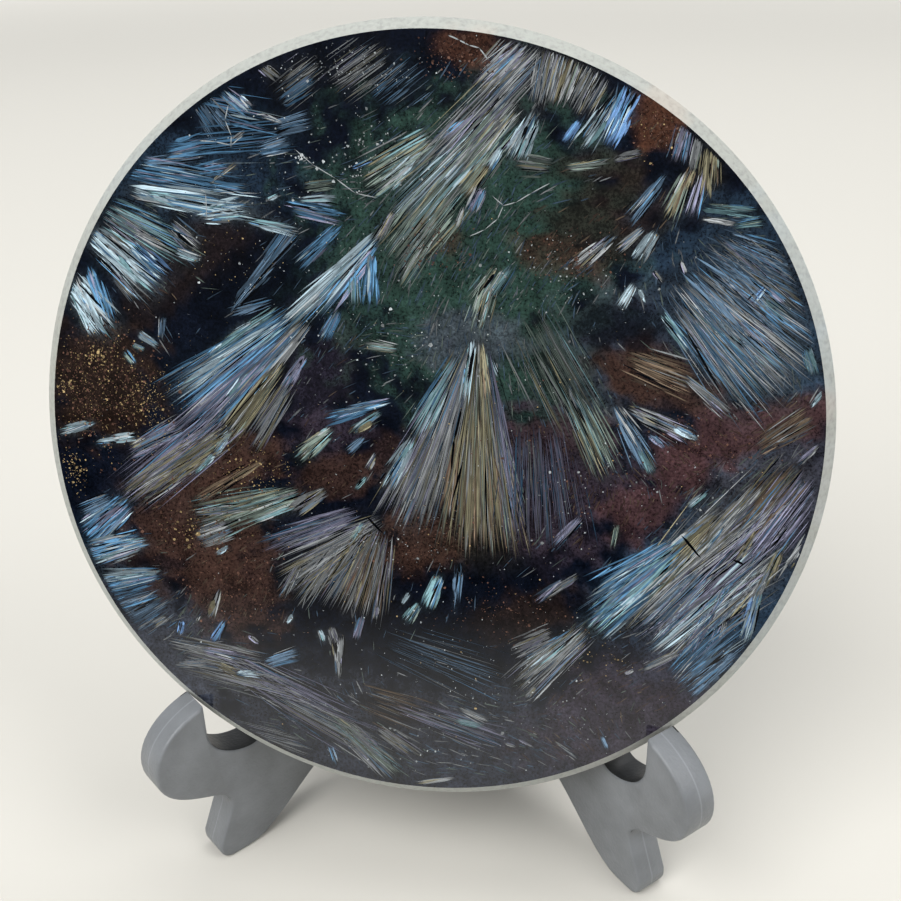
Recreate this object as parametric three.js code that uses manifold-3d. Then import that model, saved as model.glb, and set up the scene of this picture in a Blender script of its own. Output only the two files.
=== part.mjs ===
// Polished astrophyllite slice leaning on a small folding easel with two moulded arms.
// Millimetres, +Z up. The polished face looks towards -Y and is tipped back by the lean.
// The origin is on the floor, under the middle of the whole piece.

import * as THREE from 'three';
import { mergeVertices } from 'three/addons/utils/BufferGeometryUtils.js';
import Module from 'manifold-3d';

// Slice: a disc cut across the rock, ground round by hand and bevelled along both edges
const SLICE_RADIUS = 50;
const SLICE_THICKNESS = 8;
const SLICE_BEVEL_WIDTH = 1.4;
const SLICE_BEVEL_DEPTH = 1.3;
const SLICE_SIDES = 144;
const SLICE_LEAN = THREE.MathUtils.degToRad(13);
const FACE_CENTRE_HEIGHT = 65;
const FACE_CENTRE_TO_HINGE = 25.9;

// Slow waves that hand grinding leaves in a round outline
const OUTLINE_WAVES = [
  { lobes: 3, height: 0.06, firstCrest: THREE.MathUtils.degToRad(2) },
  { lobes: 4, height: 0.11, firstCrest: THREE.MathUtils.degToRad(30) },
];

// Easel: two flat arms that open in a V from a hinge behind the slice
const HINGE_Y = 19.1;
const ARM_ANGLE = THREE.MathUtils.degToRad(42);
const ARM_THICKNESS = 5;
const ARM_EDGE_ROUND = 0.45;
const ARM_EDGE_STEPS = 3;
const ARM_CURVE_STEPS = 12;
const CLEARANCE = 0.3;

// Arm outline: distances out from the hinge, and heights above the floor
const HEEL = { back: 2, front: 9, rise: 12.5 };
const ARCH = { out: 22.5, height: 11.2, backReach: 15, frontReach: 30.5 };
const FOOT = { reach: 37, back: 43, flatEnd: 45.3, toe: 48, front: 47.6, frontHeight: 3 };
const CLEFT = { out: 45.3, height: 8.4, depth: 44.5, low: 10.2, high: 11.6, roof: 47.2, roofHeight: 12.5 };
const LOBE = { under: 50.8, underHeight: 14, low: 15.6, out: 55.1, height: 20.3, high: 24.6 };
const HOOK = { brow: 51.4, browHeight: 27.6, out: 46.9, height: 28.5, wallFoot: 23.7, wallEnd: 20.8 };
const CRADLE = { front: 44.4, frontHeight: 18.5, low: 41, floor: 18.1, back: 39.2, backHeight: 17.8 };
const SEAT = { rise: 38.2, riseHeight: 19.6, out: 36.6, height: 20, fillet: 0.9, filletHeight: 20.3 };
const UPRIGHT = { foot: 24.5, top: 60, tipRadius: 5, waistDrop: 7 };

// Hinge: knuckles of the two arms in turn up one pin
const HINGE_TOP = 46;
const KNUCKLE_RADIUS = 4.5;
const KNUCKLE_LEVELS = [0, 11, 35, HINGE_TOP];
const KNUCKLE_SIDES = 36;
const PIN_RADIUS = 1.5;
const PIN_FOOT = 0.6;
const PIN_HEAD_RADIUS = 2.8;
const PIN_HEAD_HEIGHT = 1.7;
const PIN_HEAD_STEPS = 6;
const BORE_OVERRUN = 1;

const wasm = await Module();
wasm.setup();

// A closed solid, for joining and cutting, from a three.js geometry
function solidOf(geometry) {
  const bare = geometry.clone();
  bare.deleteAttribute('normal');
  bare.deleteAttribute('uv');
  const merged = mergeVertices(bare);
  const mesh = new wasm.Mesh({
    numProp: 3,
    vertProperties: new Float32Array(merged.attributes.position.array),
    triVerts: new Uint32Array(merged.index.array),
  });
  return new wasm.Manifold(mesh);
}

// A three.js geometry from a closed solid
function geometryOf(solid) {
  const mesh = solid.getMesh();
  const geometry = new THREE.BufferGeometry();
  geometry.setAttribute('position', new THREE.BufferAttribute(mesh.vertProperties, 3));
  geometry.setIndex(new THREE.BufferAttribute(mesh.triVerts, 1));
  geometry.computeVertexNormals();
  return geometry;
}

// An upright cylinder on the hinge line, in an arm's own frame
function hingeCylinder(radius, foot, top) {
  const cylinder = new THREE.CylinderGeometry(radius, radius, top - foot, KNUCKLE_SIDES);
  cylinder.translate(0, (foot + top) / 2, 0);
  return solidOf(cylinder);
}

// Radius of the slice in one direction across its face
function sliceRadius(angle) {
  let radius = SLICE_RADIUS;
  for (const wave of OUTLINE_WAVES) {
    radius += wave.height * Math.cos(wave.lobes * (angle - wave.firstCrest));
  }
  return radius;
}

function makeSlice() {
  const points = [];
  for (let side = 0; side < SLICE_SIDES; side += 1) {
    const angle = (side / SLICE_SIDES) * 2 * Math.PI;
    const radius = sliceRadius(angle);
    points.push(new THREE.Vector2(radius * Math.cos(angle), radius * Math.sin(angle)));
  }
  const wall = SLICE_THICKNESS - 2 * SLICE_BEVEL_DEPTH;
  const geometry = new THREE.ExtrudeGeometry(new THREE.Shape(points), {
    depth: wall,
    bevelThickness: SLICE_BEVEL_DEPTH,
    bevelSize: SLICE_BEVEL_WIDTH,
    bevelOffset: -SLICE_BEVEL_WIDTH,
    bevelSegments: 1,
  });
  geometry.translate(0, 0, -wall - SLICE_BEVEL_DEPTH);
  const stone = new THREE.MeshStandardMaterial({ color: '#20242f', roughness: 0.12, metalness: 0 });
  const slice = new THREE.Mesh(geometry, stone);
  slice.name = 'slice';
  slice.position.set(0, HINGE_Y - FACE_CENTRE_TO_HINGE, FACE_CENTRE_HEIGHT);
  slice.rotation.x = Math.PI / 2 - SLICE_LEAN;
  return slice;
}

// Distance out from the hinge of an upright's front edge, just clear of the slice's back face
function uprightFront(height) {
  const rise = Math.tan(SLICE_LEAN) * (height - FACE_CENTRE_HEIGHT);
  const faceToHinge = FACE_CENTRE_TO_HINGE - rise - SLICE_THICKNESS / Math.cos(SLICE_LEAN);
  const innerSide = (ARM_THICKNESS / 2) * Math.tan(ARM_ANGLE);
  return faceToHinge / Math.cos(ARM_ANGLE) - innerSide - CLEARANCE;
}

// Side view of one arm: heel, arch, foot, scrolled hook, cradle and leaning upright
function armOutline() {
  const foot = new THREE.Vector2(uprightFront(UPRIGHT.foot), UPRIGHT.foot);
  const top = new THREE.Vector2(uprightFront(UPRIGHT.top), UPRIGHT.top);
  const along = top.clone().sub(foot).normalize();
  const backwards = new THREE.Vector2(-along.y, along.x);
  const tip = top.clone().addScaledVector(backwards, UPRIGHT.tipRadius);
  const tipBack = tip.clone().addScaledVector(backwards, UPRIGHT.tipRadius);
  const startAngle = Math.atan2(-backwards.y, -backwards.x);
  const waist = tipBack.clone().addScaledVector(along, -UPRIGHT.waistDrop);

  const outline = new THREE.Shape();
  outline.moveTo(HEEL.back, 0);
  outline.lineTo(HEEL.front, 0);
  outline.bezierCurveTo(HEEL.rise, 0, ARCH.backReach, ARCH.height, ARCH.out, ARCH.height);
  outline.bezierCurveTo(ARCH.frontReach, ARCH.height, FOOT.reach, 0, FOOT.back, 0);
  outline.lineTo(FOOT.flatEnd, 0);
  outline.quadraticCurveTo(FOOT.toe, 0, FOOT.front, FOOT.frontHeight);
  outline.lineTo(CLEFT.out, CLEFT.height);
  outline.bezierCurveTo(CLEFT.depth, CLEFT.low, CLEFT.out, CLEFT.high, CLEFT.roof, CLEFT.roofHeight);
  outline.bezierCurveTo(LOBE.under, LOBE.underHeight, LOBE.out, LOBE.low, LOBE.out, LOBE.height);
  outline.bezierCurveTo(LOBE.out, LOBE.high, HOOK.brow, HOOK.browHeight, HOOK.out, HOOK.height);
  outline.lineTo(HOOK.out, HOOK.wallFoot);
  outline.bezierCurveTo(HOOK.out, HOOK.wallEnd, CRADLE.front, CRADLE.frontHeight, CRADLE.low, CRADLE.floor);
  outline.bezierCurveTo(CRADLE.back, CRADLE.backHeight, SEAT.rise, SEAT.riseHeight, SEAT.out, SEAT.height);
  outline.quadraticCurveTo(foot.x + SEAT.fillet, SEAT.filletHeight, foot.x, foot.y);
  outline.lineTo(top.x, top.y);
  outline.absarc(tip.x, tip.y, UPRIGHT.tipRadius, startAngle, startAngle + Math.PI, false);
  outline.bezierCurveTo(waist.x, waist.y, HEEL.front, HINGE_TOP, HEEL.back + KNUCKLE_RADIUS, HINGE_TOP);
  outline.lineTo(HEEL.back, HINGE_TOP);
  outline.closePath();
  return outline;
}

// One arm: the plate, its own knuckles, room for the other arm's knuckles, and the pin's bore
function makeArm(name, turn, ownLevels) {
  const plate = new THREE.ExtrudeGeometry(armOutline(), {
    depth: ARM_THICKNESS - 2 * ARM_EDGE_ROUND,
    bevelThickness: ARM_EDGE_ROUND,
    bevelSize: ARM_EDGE_ROUND,
    bevelOffset: -ARM_EDGE_ROUND,
    bevelSegments: ARM_EDGE_STEPS,
    curveSegments: ARM_CURVE_STEPS,
  });
  plate.translate(0, 0, ARM_EDGE_ROUND - ARM_THICKNESS / 2);
  let solid = solidOf(plate);
  for (let level = 0; level + 1 < KNUCKLE_LEVELS.length; level += 1) {
    const foot = KNUCKLE_LEVELS[level];
    const top = KNUCKLE_LEVELS[level + 1];
    if (!ownLevels.includes(level)) {
      const room = hingeCylinder(KNUCKLE_RADIUS + CLEARANCE, foot - CLEARANCE / 2, top + CLEARANCE / 2);
      solid = solid.subtract(room);
    }
  }
  for (const level of ownLevels) {
    const foot = KNUCKLE_LEVELS[level] + (level > 0 ? CLEARANCE / 2 : 0);
    const top = KNUCKLE_LEVELS[level + 1] - CLEARANCE / 2;
    solid = solid.add(hingeCylinder(KNUCKLE_RADIUS, foot, top));
  }
  const bore = hingeCylinder(PIN_RADIUS + CLEARANCE, -BORE_OVERRUN, HINGE_TOP + BORE_OVERRUN);
  solid = solid.subtract(bore);
  const plastic = new THREE.MeshStandardMaterial({ color: '#3b3d41', roughness: 0.45, metalness: 0 });
  const arm = new THREE.Mesh(geometryOf(solid), plastic);
  arm.name = name;
  arm.rotation.set(Math.PI / 2, 0, turn, 'ZXY');
  return arm;
}

// Headed pin up the middle of the knuckles
function makePin() {
  const headFoot = HINGE_TOP + CLEARANCE;
  const profile = new THREE.Path();
  profile.moveTo(0, PIN_FOOT);
  profile.lineTo(PIN_RADIUS, PIN_FOOT);
  profile.lineTo(PIN_RADIUS, headFoot);
  profile.lineTo(PIN_HEAD_RADIUS, headFoot);
  const crown = headFoot + PIN_HEAD_HEIGHT;
  profile.quadraticCurveTo(PIN_HEAD_RADIUS, crown, 0, crown);
  const points = profile.getPoints(PIN_HEAD_STEPS);
  const steel = new THREE.MeshStandardMaterial({ color: '#8d9094', roughness: 0.35, metalness: 1 });
  const pin = new THREE.Mesh(new THREE.LatheGeometry(points, KNUCKLE_SIDES), steel);
  pin.name = 'hinge_pin';
  pin.rotation.x = Math.PI / 2;
  return pin;
}

const easel = new THREE.Group();
easel.position.y = HINGE_Y;
easel.add(makeArm('left_arm', -Math.PI / 2 - ARM_ANGLE, [0, 2]));
easel.add(makeArm('right_arm', -Math.PI / 2 + ARM_ANGLE, [1]));
easel.add(makePin());

const sliceOnEasel = new THREE.Group();
sliceOnEasel.add(makeSlice());
sliceOnEasel.add(easel);

export default sliceOnEasel;
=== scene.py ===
import math

import bpy
import numpy as np
from mathutils import Matrix, Vector, noise


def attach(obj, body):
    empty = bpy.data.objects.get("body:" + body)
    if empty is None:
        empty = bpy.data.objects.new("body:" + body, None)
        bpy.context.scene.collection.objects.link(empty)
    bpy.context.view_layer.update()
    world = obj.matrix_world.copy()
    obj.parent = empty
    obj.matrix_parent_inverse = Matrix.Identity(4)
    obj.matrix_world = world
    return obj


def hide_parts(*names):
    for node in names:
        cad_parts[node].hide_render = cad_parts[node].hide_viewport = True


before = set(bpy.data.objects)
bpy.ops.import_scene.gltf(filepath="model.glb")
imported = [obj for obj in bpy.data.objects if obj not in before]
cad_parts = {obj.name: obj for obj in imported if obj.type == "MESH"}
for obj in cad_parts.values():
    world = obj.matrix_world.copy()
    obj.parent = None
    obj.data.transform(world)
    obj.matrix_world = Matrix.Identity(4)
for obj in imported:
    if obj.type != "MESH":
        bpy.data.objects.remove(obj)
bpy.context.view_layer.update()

bl_info = {
    "name": "Astrophyllite Slice",
    "version": (1, 0, 0),
    "blender": (4, 5, 0),
    "location": "3D View > Sidebar > Slice",
    "description": "Polished astrophyllite slice on a folding easel, built round its CAD frame",
    "category": "Object",
}

MM = 0.001
SEED = 20

# Where the polished face lies: its lean, its centre, two directions across it and one out of it
LEAN = math.radians(13)
FACE_CENTRE = Vector((0, -6.8, 65)) * MM
FACE_RIGHT = Vector((1, 0, 0))
FACE_UP = Vector((0, math.sin(LEAN), math.cos(LEAN)))
FACE_OUT = Vector((0, -math.cos(LEAN), math.sin(LEAN)))

# Slow waves that hand grinding leaves in the outline: lobes, height in mm, first crest in degrees
OUTLINE_WAVES = [(3, 0.06, 2), (4, 0.11, 30)]

# Sides of the turned stone, and rings of points on its back
STONE_SIDES = 360
BACK_RINGS = 6

# Points closer than these are merged, and bends gentler than these are shaded smooth
STONE_MERGE = 0.002 * MM
STONE_BEND = math.radians(25)
ARM_MERGE = 0.005 * MM
ARM_BEND = math.radians(32)

# The stone's finishes, numbered, how far a face may lie off its zone's plane, and off its zone's number
FACE_ZONE = 0
EDGE_ZONE = 1
BACK_ZONE = 2
ZONE_MARGIN = 0.01 * MM
ZONE_STEP = 0.3

# The easel's hinge line and how far each arm opens from straight ahead
HINGE = Vector((0, 19.1, 0)) * MM
ARM_ANGLE = math.radians(42)

# The arms' hollows, which get painted shade, lie within these distances of the stone's axis and behind its
# face
CRADLE_FAR = 62 * MM
CRADLE_DEPTH = 12 * MM

# Faces that look along the plate's normal by less than this share are on an arm's edge
EDGE_FACING = 0.5

# Camera: width of its frame and focal length in pixels, place in mm, turns in degrees, sensor in mm,
# and the nearest distance that it sees
FRAME_PIXELS = 901
FOCAL_PIXELS = 1115.7
CAMERA_PLACE = Vector((21.0, -129.3, 128.55)) * MM
CAMERA_YAW = math.radians(8.14)
CAMERA_PITCH = math.radians(27.62)
CAMERA_ROLL = math.radians(-1.38)
SENSOR_WIDTH = 36
CAMERA_CLIP = 5 * MM

# Depth of the pits that sawing and grinding leave, and of the orange peel on the moulded plastic
PIT_DEPTH = 0.12 * MM
PEEL_DEPTH = 0.07 * MM

# The floor glows more and more between these distances in metres from the object, up to this strength,
# so that it runs into the pale backdrop
SWEEP_NEAR = 0.8
SWEEP_FAR = 2.4
SWEEP_GLOW = 0.68

# The black flag begins this far in front of the origin, is dense past the second distance,
# and lies this high above the floor
FLAG_NEAR = 95 * MM
FLAG_FULL = 290 * MM
FLAG_HEIGHT = 0.3 * MM

# Strength of the room's light, and the directions along Y between which it turns from dim to pale
ROOM_STRENGTH = 0.9
ROOM_DIM = -0.9
ROOM_PALE = 0.6

# Patches of ground rock on the face, some of them also painted reflection, each laid over the ones before
# it:
# colour, centre across and up in mm, half length, half width, turn in degrees, strength
ROCK_PATCHES = [
    ("slate", 38, 18, 14, 11, -35, 0.45),
    ("slate", 38, -18, 14, 12, 50, 0.5),
    ("slate", -30, 32, 16, 5, 0, 0.25),
    # Green rock, and painted reflection too: these two moss patches stand in for the camera mirrored in the
    # upper middle
    ("moss", 5, 24, 19, 17, 0, 0.75),
    ("moss", 14, 8, 9, 9, 0, 0.55),
    # Painted reflection: this ash patch and the next stand for the pale haze that the polish mirrors in the
    # lower face
    ("ash_and_reflection", 4, -42, 34, 10, 0, 0.3),
    ("ash_and_reflection", -36, -30, 12, 9, -50, 0.45),
    ("plum", 26, -36, 14, 8, 30, 0.6),
    ("ash_and_reflection", 6, 13, 7, 3.5, 0, 0.6),
    ("plum", 16, -5, 11, 10, 0, 0.9),
    ("plum", 42, -3, 8, 9, 30, 0.5),
    ("ash_and_reflection", 42, -4, 8, 8, 30, 0.6),
    ("slate", 41, 10, 8, 7, -35, 0.75),
    ("brown", -42, 6, 8.5, 8, 0, 1.0),
    ("brown", -27, 22.5, 7, 4, 10, 0.55),
    ("brown", -34, 17, 6, 3, 30, 0.5),
    ("brown", 21, 27, 8, 5, 20, 0.7),
    ("brown", 21, 33.5, 6, 2, 0, 0.6),
    ("umber", -30, -14, 11, 9, 15, 0.85),
    ("umber", -25, -21, 7, 8, 0, 0.7),
    ("umber", -25, -4, 7, 4, 25, 0.95),
    ("umber", -11, -5, 6, 3, 15, 0.75),
    ("umber", -4, -3, 3, 4, 0, 0.45),
    ("umber", 0, -13.5, 5.5, 4.5, 0, 1.0),
    ("plum", -13, 7, 4, 8, -25, 0.28),
    ("plum", -12, 1, 5, 3, 10, 0.6),
    ("ash_and_reflection", 24, 12, 8, 8, 0, 0.35),
    ("umber", 27, 9.5, 6.5, 4, -15, 1.0),
    ("umber", 34, 6.5, 5, 2.5, -35, 0.9),
    ("wine", 37, 2.5, 9, 3.5, 25, 1.1),
    ("wine", 46, 5, 4, 3, 20, 1.0),
    ("wine", 32, -2, 4, 4, 30, 1.0),
    ("wine", 27, -8, 5, 3.5, 25, 0.9),
    ("wine", 17, 1.5, 7, 2.5, 0, 0.45),
    ("rust", 5, 46.5, 4, 2, -10, 0.8),
    ("rust", 27, 38.5, 3.2, 3.2, -40, 1.2),
    ("rust", 1.5, 24.5, 3.5, 2, 15, 0.4),
    ("rust", 16, 23, 6, 2.5, -10, 0.35),
    ("brown", 13, -23, 7, 3.5, 20, 0.7),
    ("navy", -21, 19.5, 9, 4.5, 30, 0.85),
    ("navy", 0, -28, 13, 6, 0, 0.45),
    ("navy", 8, -17, 9, 2, 10, 0.8),
    ("navy", -36, -18.5, 5, 1.2, 5, 0.6),
    ("navy", 24, 15, 6, 3, 10, 0.8),
]

# Sprays of blades, read as quadrangles that the blades run along:
# family, root and tip across and up in mm, span at root and tip, blades, blade width in mm, tone
SPRAYS = [
    ("ice", -41.5, 25.2, -35.2, 19.2, 2.0, 3.2, 15, 0.55, 0.85),
    ("ice", -44.6, 19.6, -41.4, 12.4, 2.2, 2.8, 16, 0.6, 0.9),
    ("blue", -42.3, 21.0, -40.0, 13.4, 1.6, 1.6, 10, 0.45, 0.7),
    ("silver", -39.5, 20.5, -36.2, 16.6, 1.2, 1.6, 8, 0.25, 0.45),
    ("silver", -40.0, 28.0, -32.0, 22.6, 2.2, 4.0, 20, 0.24, 0.45),
    ("blue", -37.4, 24.2, -32.6, 19.8, 1.4, 2.2, 11, 0.35, 0.75),
    ("silver", -36.4, 25.4, -31.6, 23.0, 0.8, 1.0, 5, 0.5, 0.75),
    ("silver", -31.5, 26.4, -27.6, 23.1, 1.6, 2.0, 7, 0.28, 0.65),
    ("ice", -31.0, 22.9, -27.6, 21.7, 0.9, 0.9, 6, 0.4, 0.75),
    ("blue", -37.2, 32.4, -30.0, 31.4, 1.2, 1.4, 11, 0.28, 0.6),
    ("ice", -36.4, 30.2, -30.2, 28.2, 0.9, 1.3, 9, 0.3, 0.65),
    ("slate", -34.5, 33.4, -27.5, 33.6, 1.4, 2.2, 10, 0.25, 0.6),
    ("blue", -31.6, 34.4, -26.2, 35.6, 1.4, 2.0, 9, 0.32, 0.45),
    ("ice", -28.3, 27.2, -21.3, 28.2, 1.2, 2.4, 13, 0.36, 0.8),
    ("ice", -22.0, 26.8, -15.0, 25.4, 0.8, 1.4, 9, 0.26, 0.75),
    ("blue", -28.0, 32.4, -23.2, 33.3, 0.9, 1.2, 7, 0.28, 0.6),
    ("silver", -26.3, 30.8, -22.4, 33.7, 0.3, 0.5, 3, 0.3, 0.85),
    ("blue", -26.4, 30.8, -21.4, 30.1, 0.8, 1.0, 7, 0.3, 0.6),
    ("blue", -24.2, 41.8, -20.6, 39.0, 1.2, 1.6, 8, 0.35, 0.5),
    ("ice", -22.0, 41.2, -20.6, 39.8, 0.5, 0.7, 4, 0.6, 0.9),
    ("slate", -27.4, 41.2, -23.6, 36.4, 2.0, 3.0, 12, 0.25, 0.5),
    ("silver", -23.4, 36.0, -21.4, 37.3, 0.4, 0.5, 3, 0.3, 0.45),
    ("silver", -19.6, 45.0, -17.0, 43.0, 1.0, 1.2, 6, 0.3, 0.5),
    ("silver", -19.6, 39.0, -16.6, 38.2, 0.4, 0.5, 3, 0.22, 0.8),
    ("slate", -20.2, 34.8, -15.8, 36.0, 1.2, 1.8, 10, 0.3, 0.8),
    ("ice", -19.1, 29.0, -17.5, 29.7, 0.4, 0.4, 3, 0.35, 0.7),
    ("blue", -17.2, 28.6, -9.2, 27.0, 1.6, 2.2, 14, 0.28, 0.6),
    ("slate", -19.6, 21.4, -15.8, 26.0, 2.0, 2.4, 9, 0.24, 0.6),
    ("blue", -19.4, 21.6, -16.2, 25.4, 1.2, 1.6, 4, 0.26, 0.45),
    ("slate", -23.6, 16.6, -19.2, 21.0, 0.7, 1.2, 7, 0.3, 0.65),
    ("blue", -17.2, 40.4, -12.6, 43.2, 1.4, 1.8, 9, 0.28, 0.3),
    ("slate", -18.0, 37.2, -13.0, 38.4, 2.0, 2.4, 12, 0.22, 0.55),
    ("ice", -15.2, 29.2, -10.4, 29.6, 0.5, 0.6, 5, 0.38, 0.8),
    ("moss", -14.6, 30.8, -10.4, 31.4, 0.9, 1.1, 7, 0.22, 0.55),
    ("azure", -8.6, 33.0, -6.0, 34.1, 0.5, 0.5, 3, 0.3, 0.8),
    ("moss", 1.2, 36.6, -7.6, 31.0, 2.4, 3.6, 24, 0.3, 0.75),
    ("ice", 0.2, 35.6, -5.0, 31.0, 0.8, 1.8, 9, 0.34, 0.7),
    ("lilac", 6.2, 39.4, 2.2, 36.0, 0.7, 1.0, 7, 0.36, 0.95),
    ("silver", 12.8, 47.4, 6.2, 41.0, 3.6, 3.0, 26, 0.22, 0.6),
    ("lilac", 12.0, 46.6, 7.0, 42.6, 2.0, 2.2, 12, 0.24, 0.85),
    ("silver", 11.0, 41.0, 1.4, 31.4, 3.2, 3.6, 30, 0.26, 0.55),
    ("moss", 10.6, 40.0, 3.8, 32.0, 3.4, 3.6, 22, 0.3, 0.9),
    ("ice", 4.8, 34.8, 1.0, 31.0, 0.8, 1.2, 7, 0.36, 0.8),
    ("ice", 13.2, 39.4, 10.4, 33.6, 1.4, 2.0, 14, 0.42, 0.82),
    ("ice", 9.2, 35.6, 7.6, 32.8, 0.6, 0.8, 5, 0.4, 0.75),
    ("olive", 7.6, 33.8, 4.4, 29.8, 1.2, 1.8, 12, 0.36, 0.7),
    ("lilac", 7.0, 31.0, 5.5, 28.0, 1.0, 1.2, 8, 0.36, 0.75),
    ("silver", 5.0, 28.8, 3.9, 26.0, 0.5, 0.6, 4, 0.26, 0.55),
    ("moss", 4.0, 31.2, -3.6, 21.4, 4.0, 3.6, 36, 0.24, 0.7),
    ("moss", 1.0, 26.0, -3.6, 19.0, 2.0, 2.0, 14, 0.22, 0.55),
    ("silver", -3.4, 28.4, -6.0, 24.4, 0.5, 0.9, 7, 0.32, 0.7),
    ("blue", -5.2, 25.2, -13.6, 15.6, 1.0, 2.2, 22, 0.4, 0.78),
    ("ice", -5.6, 24.8, -12.8, 16.6, 0.9, 1.6, 10, 0.36, 0.7),
    ("blue", -6.2, 23.0, -6.6, 16.4, 0.8, 2.0, 13, 0.32, 0.8),
    ("teal", -8.6, 21.6, -8.6, 16.6, 0.8, 1.4, 8, 0.28, 0.55),
    ("blue", -9.6, 26.6, -15.6, 21.0, 1.0, 1.4, 11, 0.34, 0.6),
    ("moss", 9.4, 21.8, 6.0, 16.8, 1.6, 2.0, 12, 0.26, 0.8),
    ("teal", 10.8, 22.0, 8.0, 17.8, 0.8, 1.2, 8, 0.28, 0.5),
    ("silver", 14.6, 47.0, 13.2, 39.4, 2.4, 1.8, 14, 0.22, 0.55),
    ("olive", 17.0, 46.0, 15.2, 40.0, 2.4, 2.0, 14, 0.24, 0.65),
    ("moss", 15.2, 33.2, 10.6, 33.6, 1.4, 1.6, 8, 0.24, 0.5),
    ("azure", 24.0, 42.4, 21.0, 35.6, 2.2, 1.8, 17, 0.44, 0.95),
    ("ice", 22.2, 41.4, 18.2, 35.2, 1.0, 1.8, 11, 0.34, 0.7),
    ("azure", 18.0, 38.6, 16.2, 36.0, 0.6, 0.7, 5, 0.32, 0.75),
    ("silver", 19.8, 44.6, 17.6, 40.6, 1.8, 1.8, 12, 0.22, 0.55),
    ("silver", 22.0, 34.2, 25.6, 35.0, 0.4, 0.3, 4, 0.35, 0.55),
    ("moss", 16.4, 33.2, 22.0, 34.1, 0.6, 0.8, 5, 0.28, 0.8),
    ("lilac", 30.0, 38.2, 29.0, 33.8, 1.6, 2.0, 14, 0.26, 0.55),
    ("silver", 31.6, 37.2, 30.8, 32.6, 0.8, 0.8, 6, 0.3, 0.6),
    ("olive", 33.0, 36.2, 32.8, 29.8, 1.4, 2.6, 18, 0.26, 0.7),
    ("olive", 31.0, 33.6, 28.6, 27.0, 0.8, 2.0, 16, 0.34, 0.8),
    ("lilac", 32.4, 33.2, 31.2, 27.6, 0.6, 1.0, 7, 0.28, 0.8),
    ("slate", 28.2, 32.8, 23.8, 27.0, 0.8, 1.6, 12, 0.24, 0.8),
    ("silver", 22.9, 26.1, 17.7, 21.4, 0.7, 1.2, 13, 0.32, 0.72),
    ("ice", 27.4, 26.2, 25.2, 22.7, 0.9, 1.5, 11, 0.36, 0.65),
    ("silver", 26.0, 26.6, 22.8, 23.8, 0.4, 0.8, 7, 0.26, 0.65),
    ("teal", 32.4, 29.2, 39.0, 28.4, 0.8, 1.4, 11, 0.26, 0.45),
    ("silver", 32.3, 27.8, 36.6, 27.1, 0.4, 0.5, 4, 0.26, 0.8),
    ("teal", 35.8, 27.0, 39.6, 27.6, 0.6, 1.0, 7, 0.28, 0.6),
    ("ice", 25.2, 20.2, 23.6, 17.1, 0.5, 0.8, 6, 0.36, 0.8),
    ("ice", 25.7, 19.6, 26.7, 17.9, 0.3, 0.4, 3, 0.3, 0.8),
    ("silver", 27.2, 21.8, 28.4, 20.2, 0.3, 0.3, 2, 0.28, 0.85),
    ("silver", 30.3, 22.9, 31.1, 21.3, 0.3, 0.4, 2, 0.3, 0.8),
    ("azure", 40.3, 20.2, 38.8, 17.9, 0.7, 1.0, 7, 0.36, 0.9),
    ("blue", 40.4, 20.0, 42.7, 18.1, 0.7, 0.8, 6, 0.3, 0.6),
    ("teal", 39.8, 18.6, 43.4, 16.0, 1.2, 1.4, 9, 0.32, 0.7),
    ("slate", 31.0, 21.4, 41.6, 9.0, 6.0, 9.0, 44, 0.18, 0.8),
    ("slate", 33.6, 25.6, 45.4, 20.4, 3.0, 5.0, 26, 0.18, 0.6),
    ("blue", 30.4, 19.6, 42.4, 8.4, 3.6, 6.4, 28, 0.2, 0.46),
    ("silver", 31.0, 18.6, 40.6, 8.6, 3.4, 5.4, 18, 0.18, 0.46),
    ("teal", 28.4, 16.8, 32.6, 12.0, 0.7, 1.0, 8, 0.26, 0.85),
    ("lilac", 36.6, 16.6, 42.2, 12.4, 2.0, 2.4, 16, 0.26, 0.6),
    ("ice", -17.0, 14.9, -32.0, 5.2, 0.8, 2.4, 26, 0.34, 0.75),
    ("blue", -15.4, 15.4, -32.0, 1.8, 2.6, 7.6, 60, 0.3, 0.62),
    ("lilac", -18.6, 11.4, -31.2, -0.4, 2.0, 4.4, 34, 0.26, 0.62),
    ("ice", -22.0, 8.2, -25.4, 4.2, 0.8, 1.0, 8, 0.34, 0.75),
    ("silver", -14.4, 14.8, -21.6, 7.0, 1.2, 2.6, 22, 0.26, 0.55),
    ("olive", -17.6, 10.0, -26.4, -1.2, 2.2, 3.0, 28, 0.26, 0.62),
    ("lilac", -14.6, 10.4, -18.2, 5.2, 0.8, 1.2, 11, 0.28, 0.55),
    ("silver", -16.4, 7.2, -22.6, -2.2, 1.4, 2.4, 20, 0.24, 0.4),
    ("teal", -18.0, 16.4, -27.6, 9.8, 0.9, 0.9, 11, 0.28, 0.6),
    ("ice", -25.4, 11.6, -27.6, 9.9, 0.3, 0.4, 4, 0.3, 0.75),
    ("ice", -21.4, 14.4, -24.2, 12.9, 0.3, 0.4, 4, 0.3, 0.7),
    ("slate", -18.6, 17.2, -24.6, 15.2, 0.7, 0.8, 7, 0.26, 0.6),
    ("ice", -24.8, 0.4, -27.3, -3.0, 0.5, 0.8, 7, 0.32, 0.8),
    ("teal", -27.2, -2.8, -29.9, -5.8, 0.8, 0.8, 7, 0.38, 0.85),
    ("olive", -27.6, -1.2, -39.6, -9.0, 2.4, 1.6, 30, 0.28, 0.62),
    ("silver", -30.0, -2.6, -38.6, -8.2, 1.8, 1.2, 14, 0.24, 0.5),
    ("lilac", -30.8, 0.8, -39.2, -3.6, 2.2, 1.4, 20, 0.26, 0.62),
    ("ice", -42.8, 0.7, -48.2, -1.0, 0.5, 1.0, 9, 0.4, 0.8),
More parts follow.
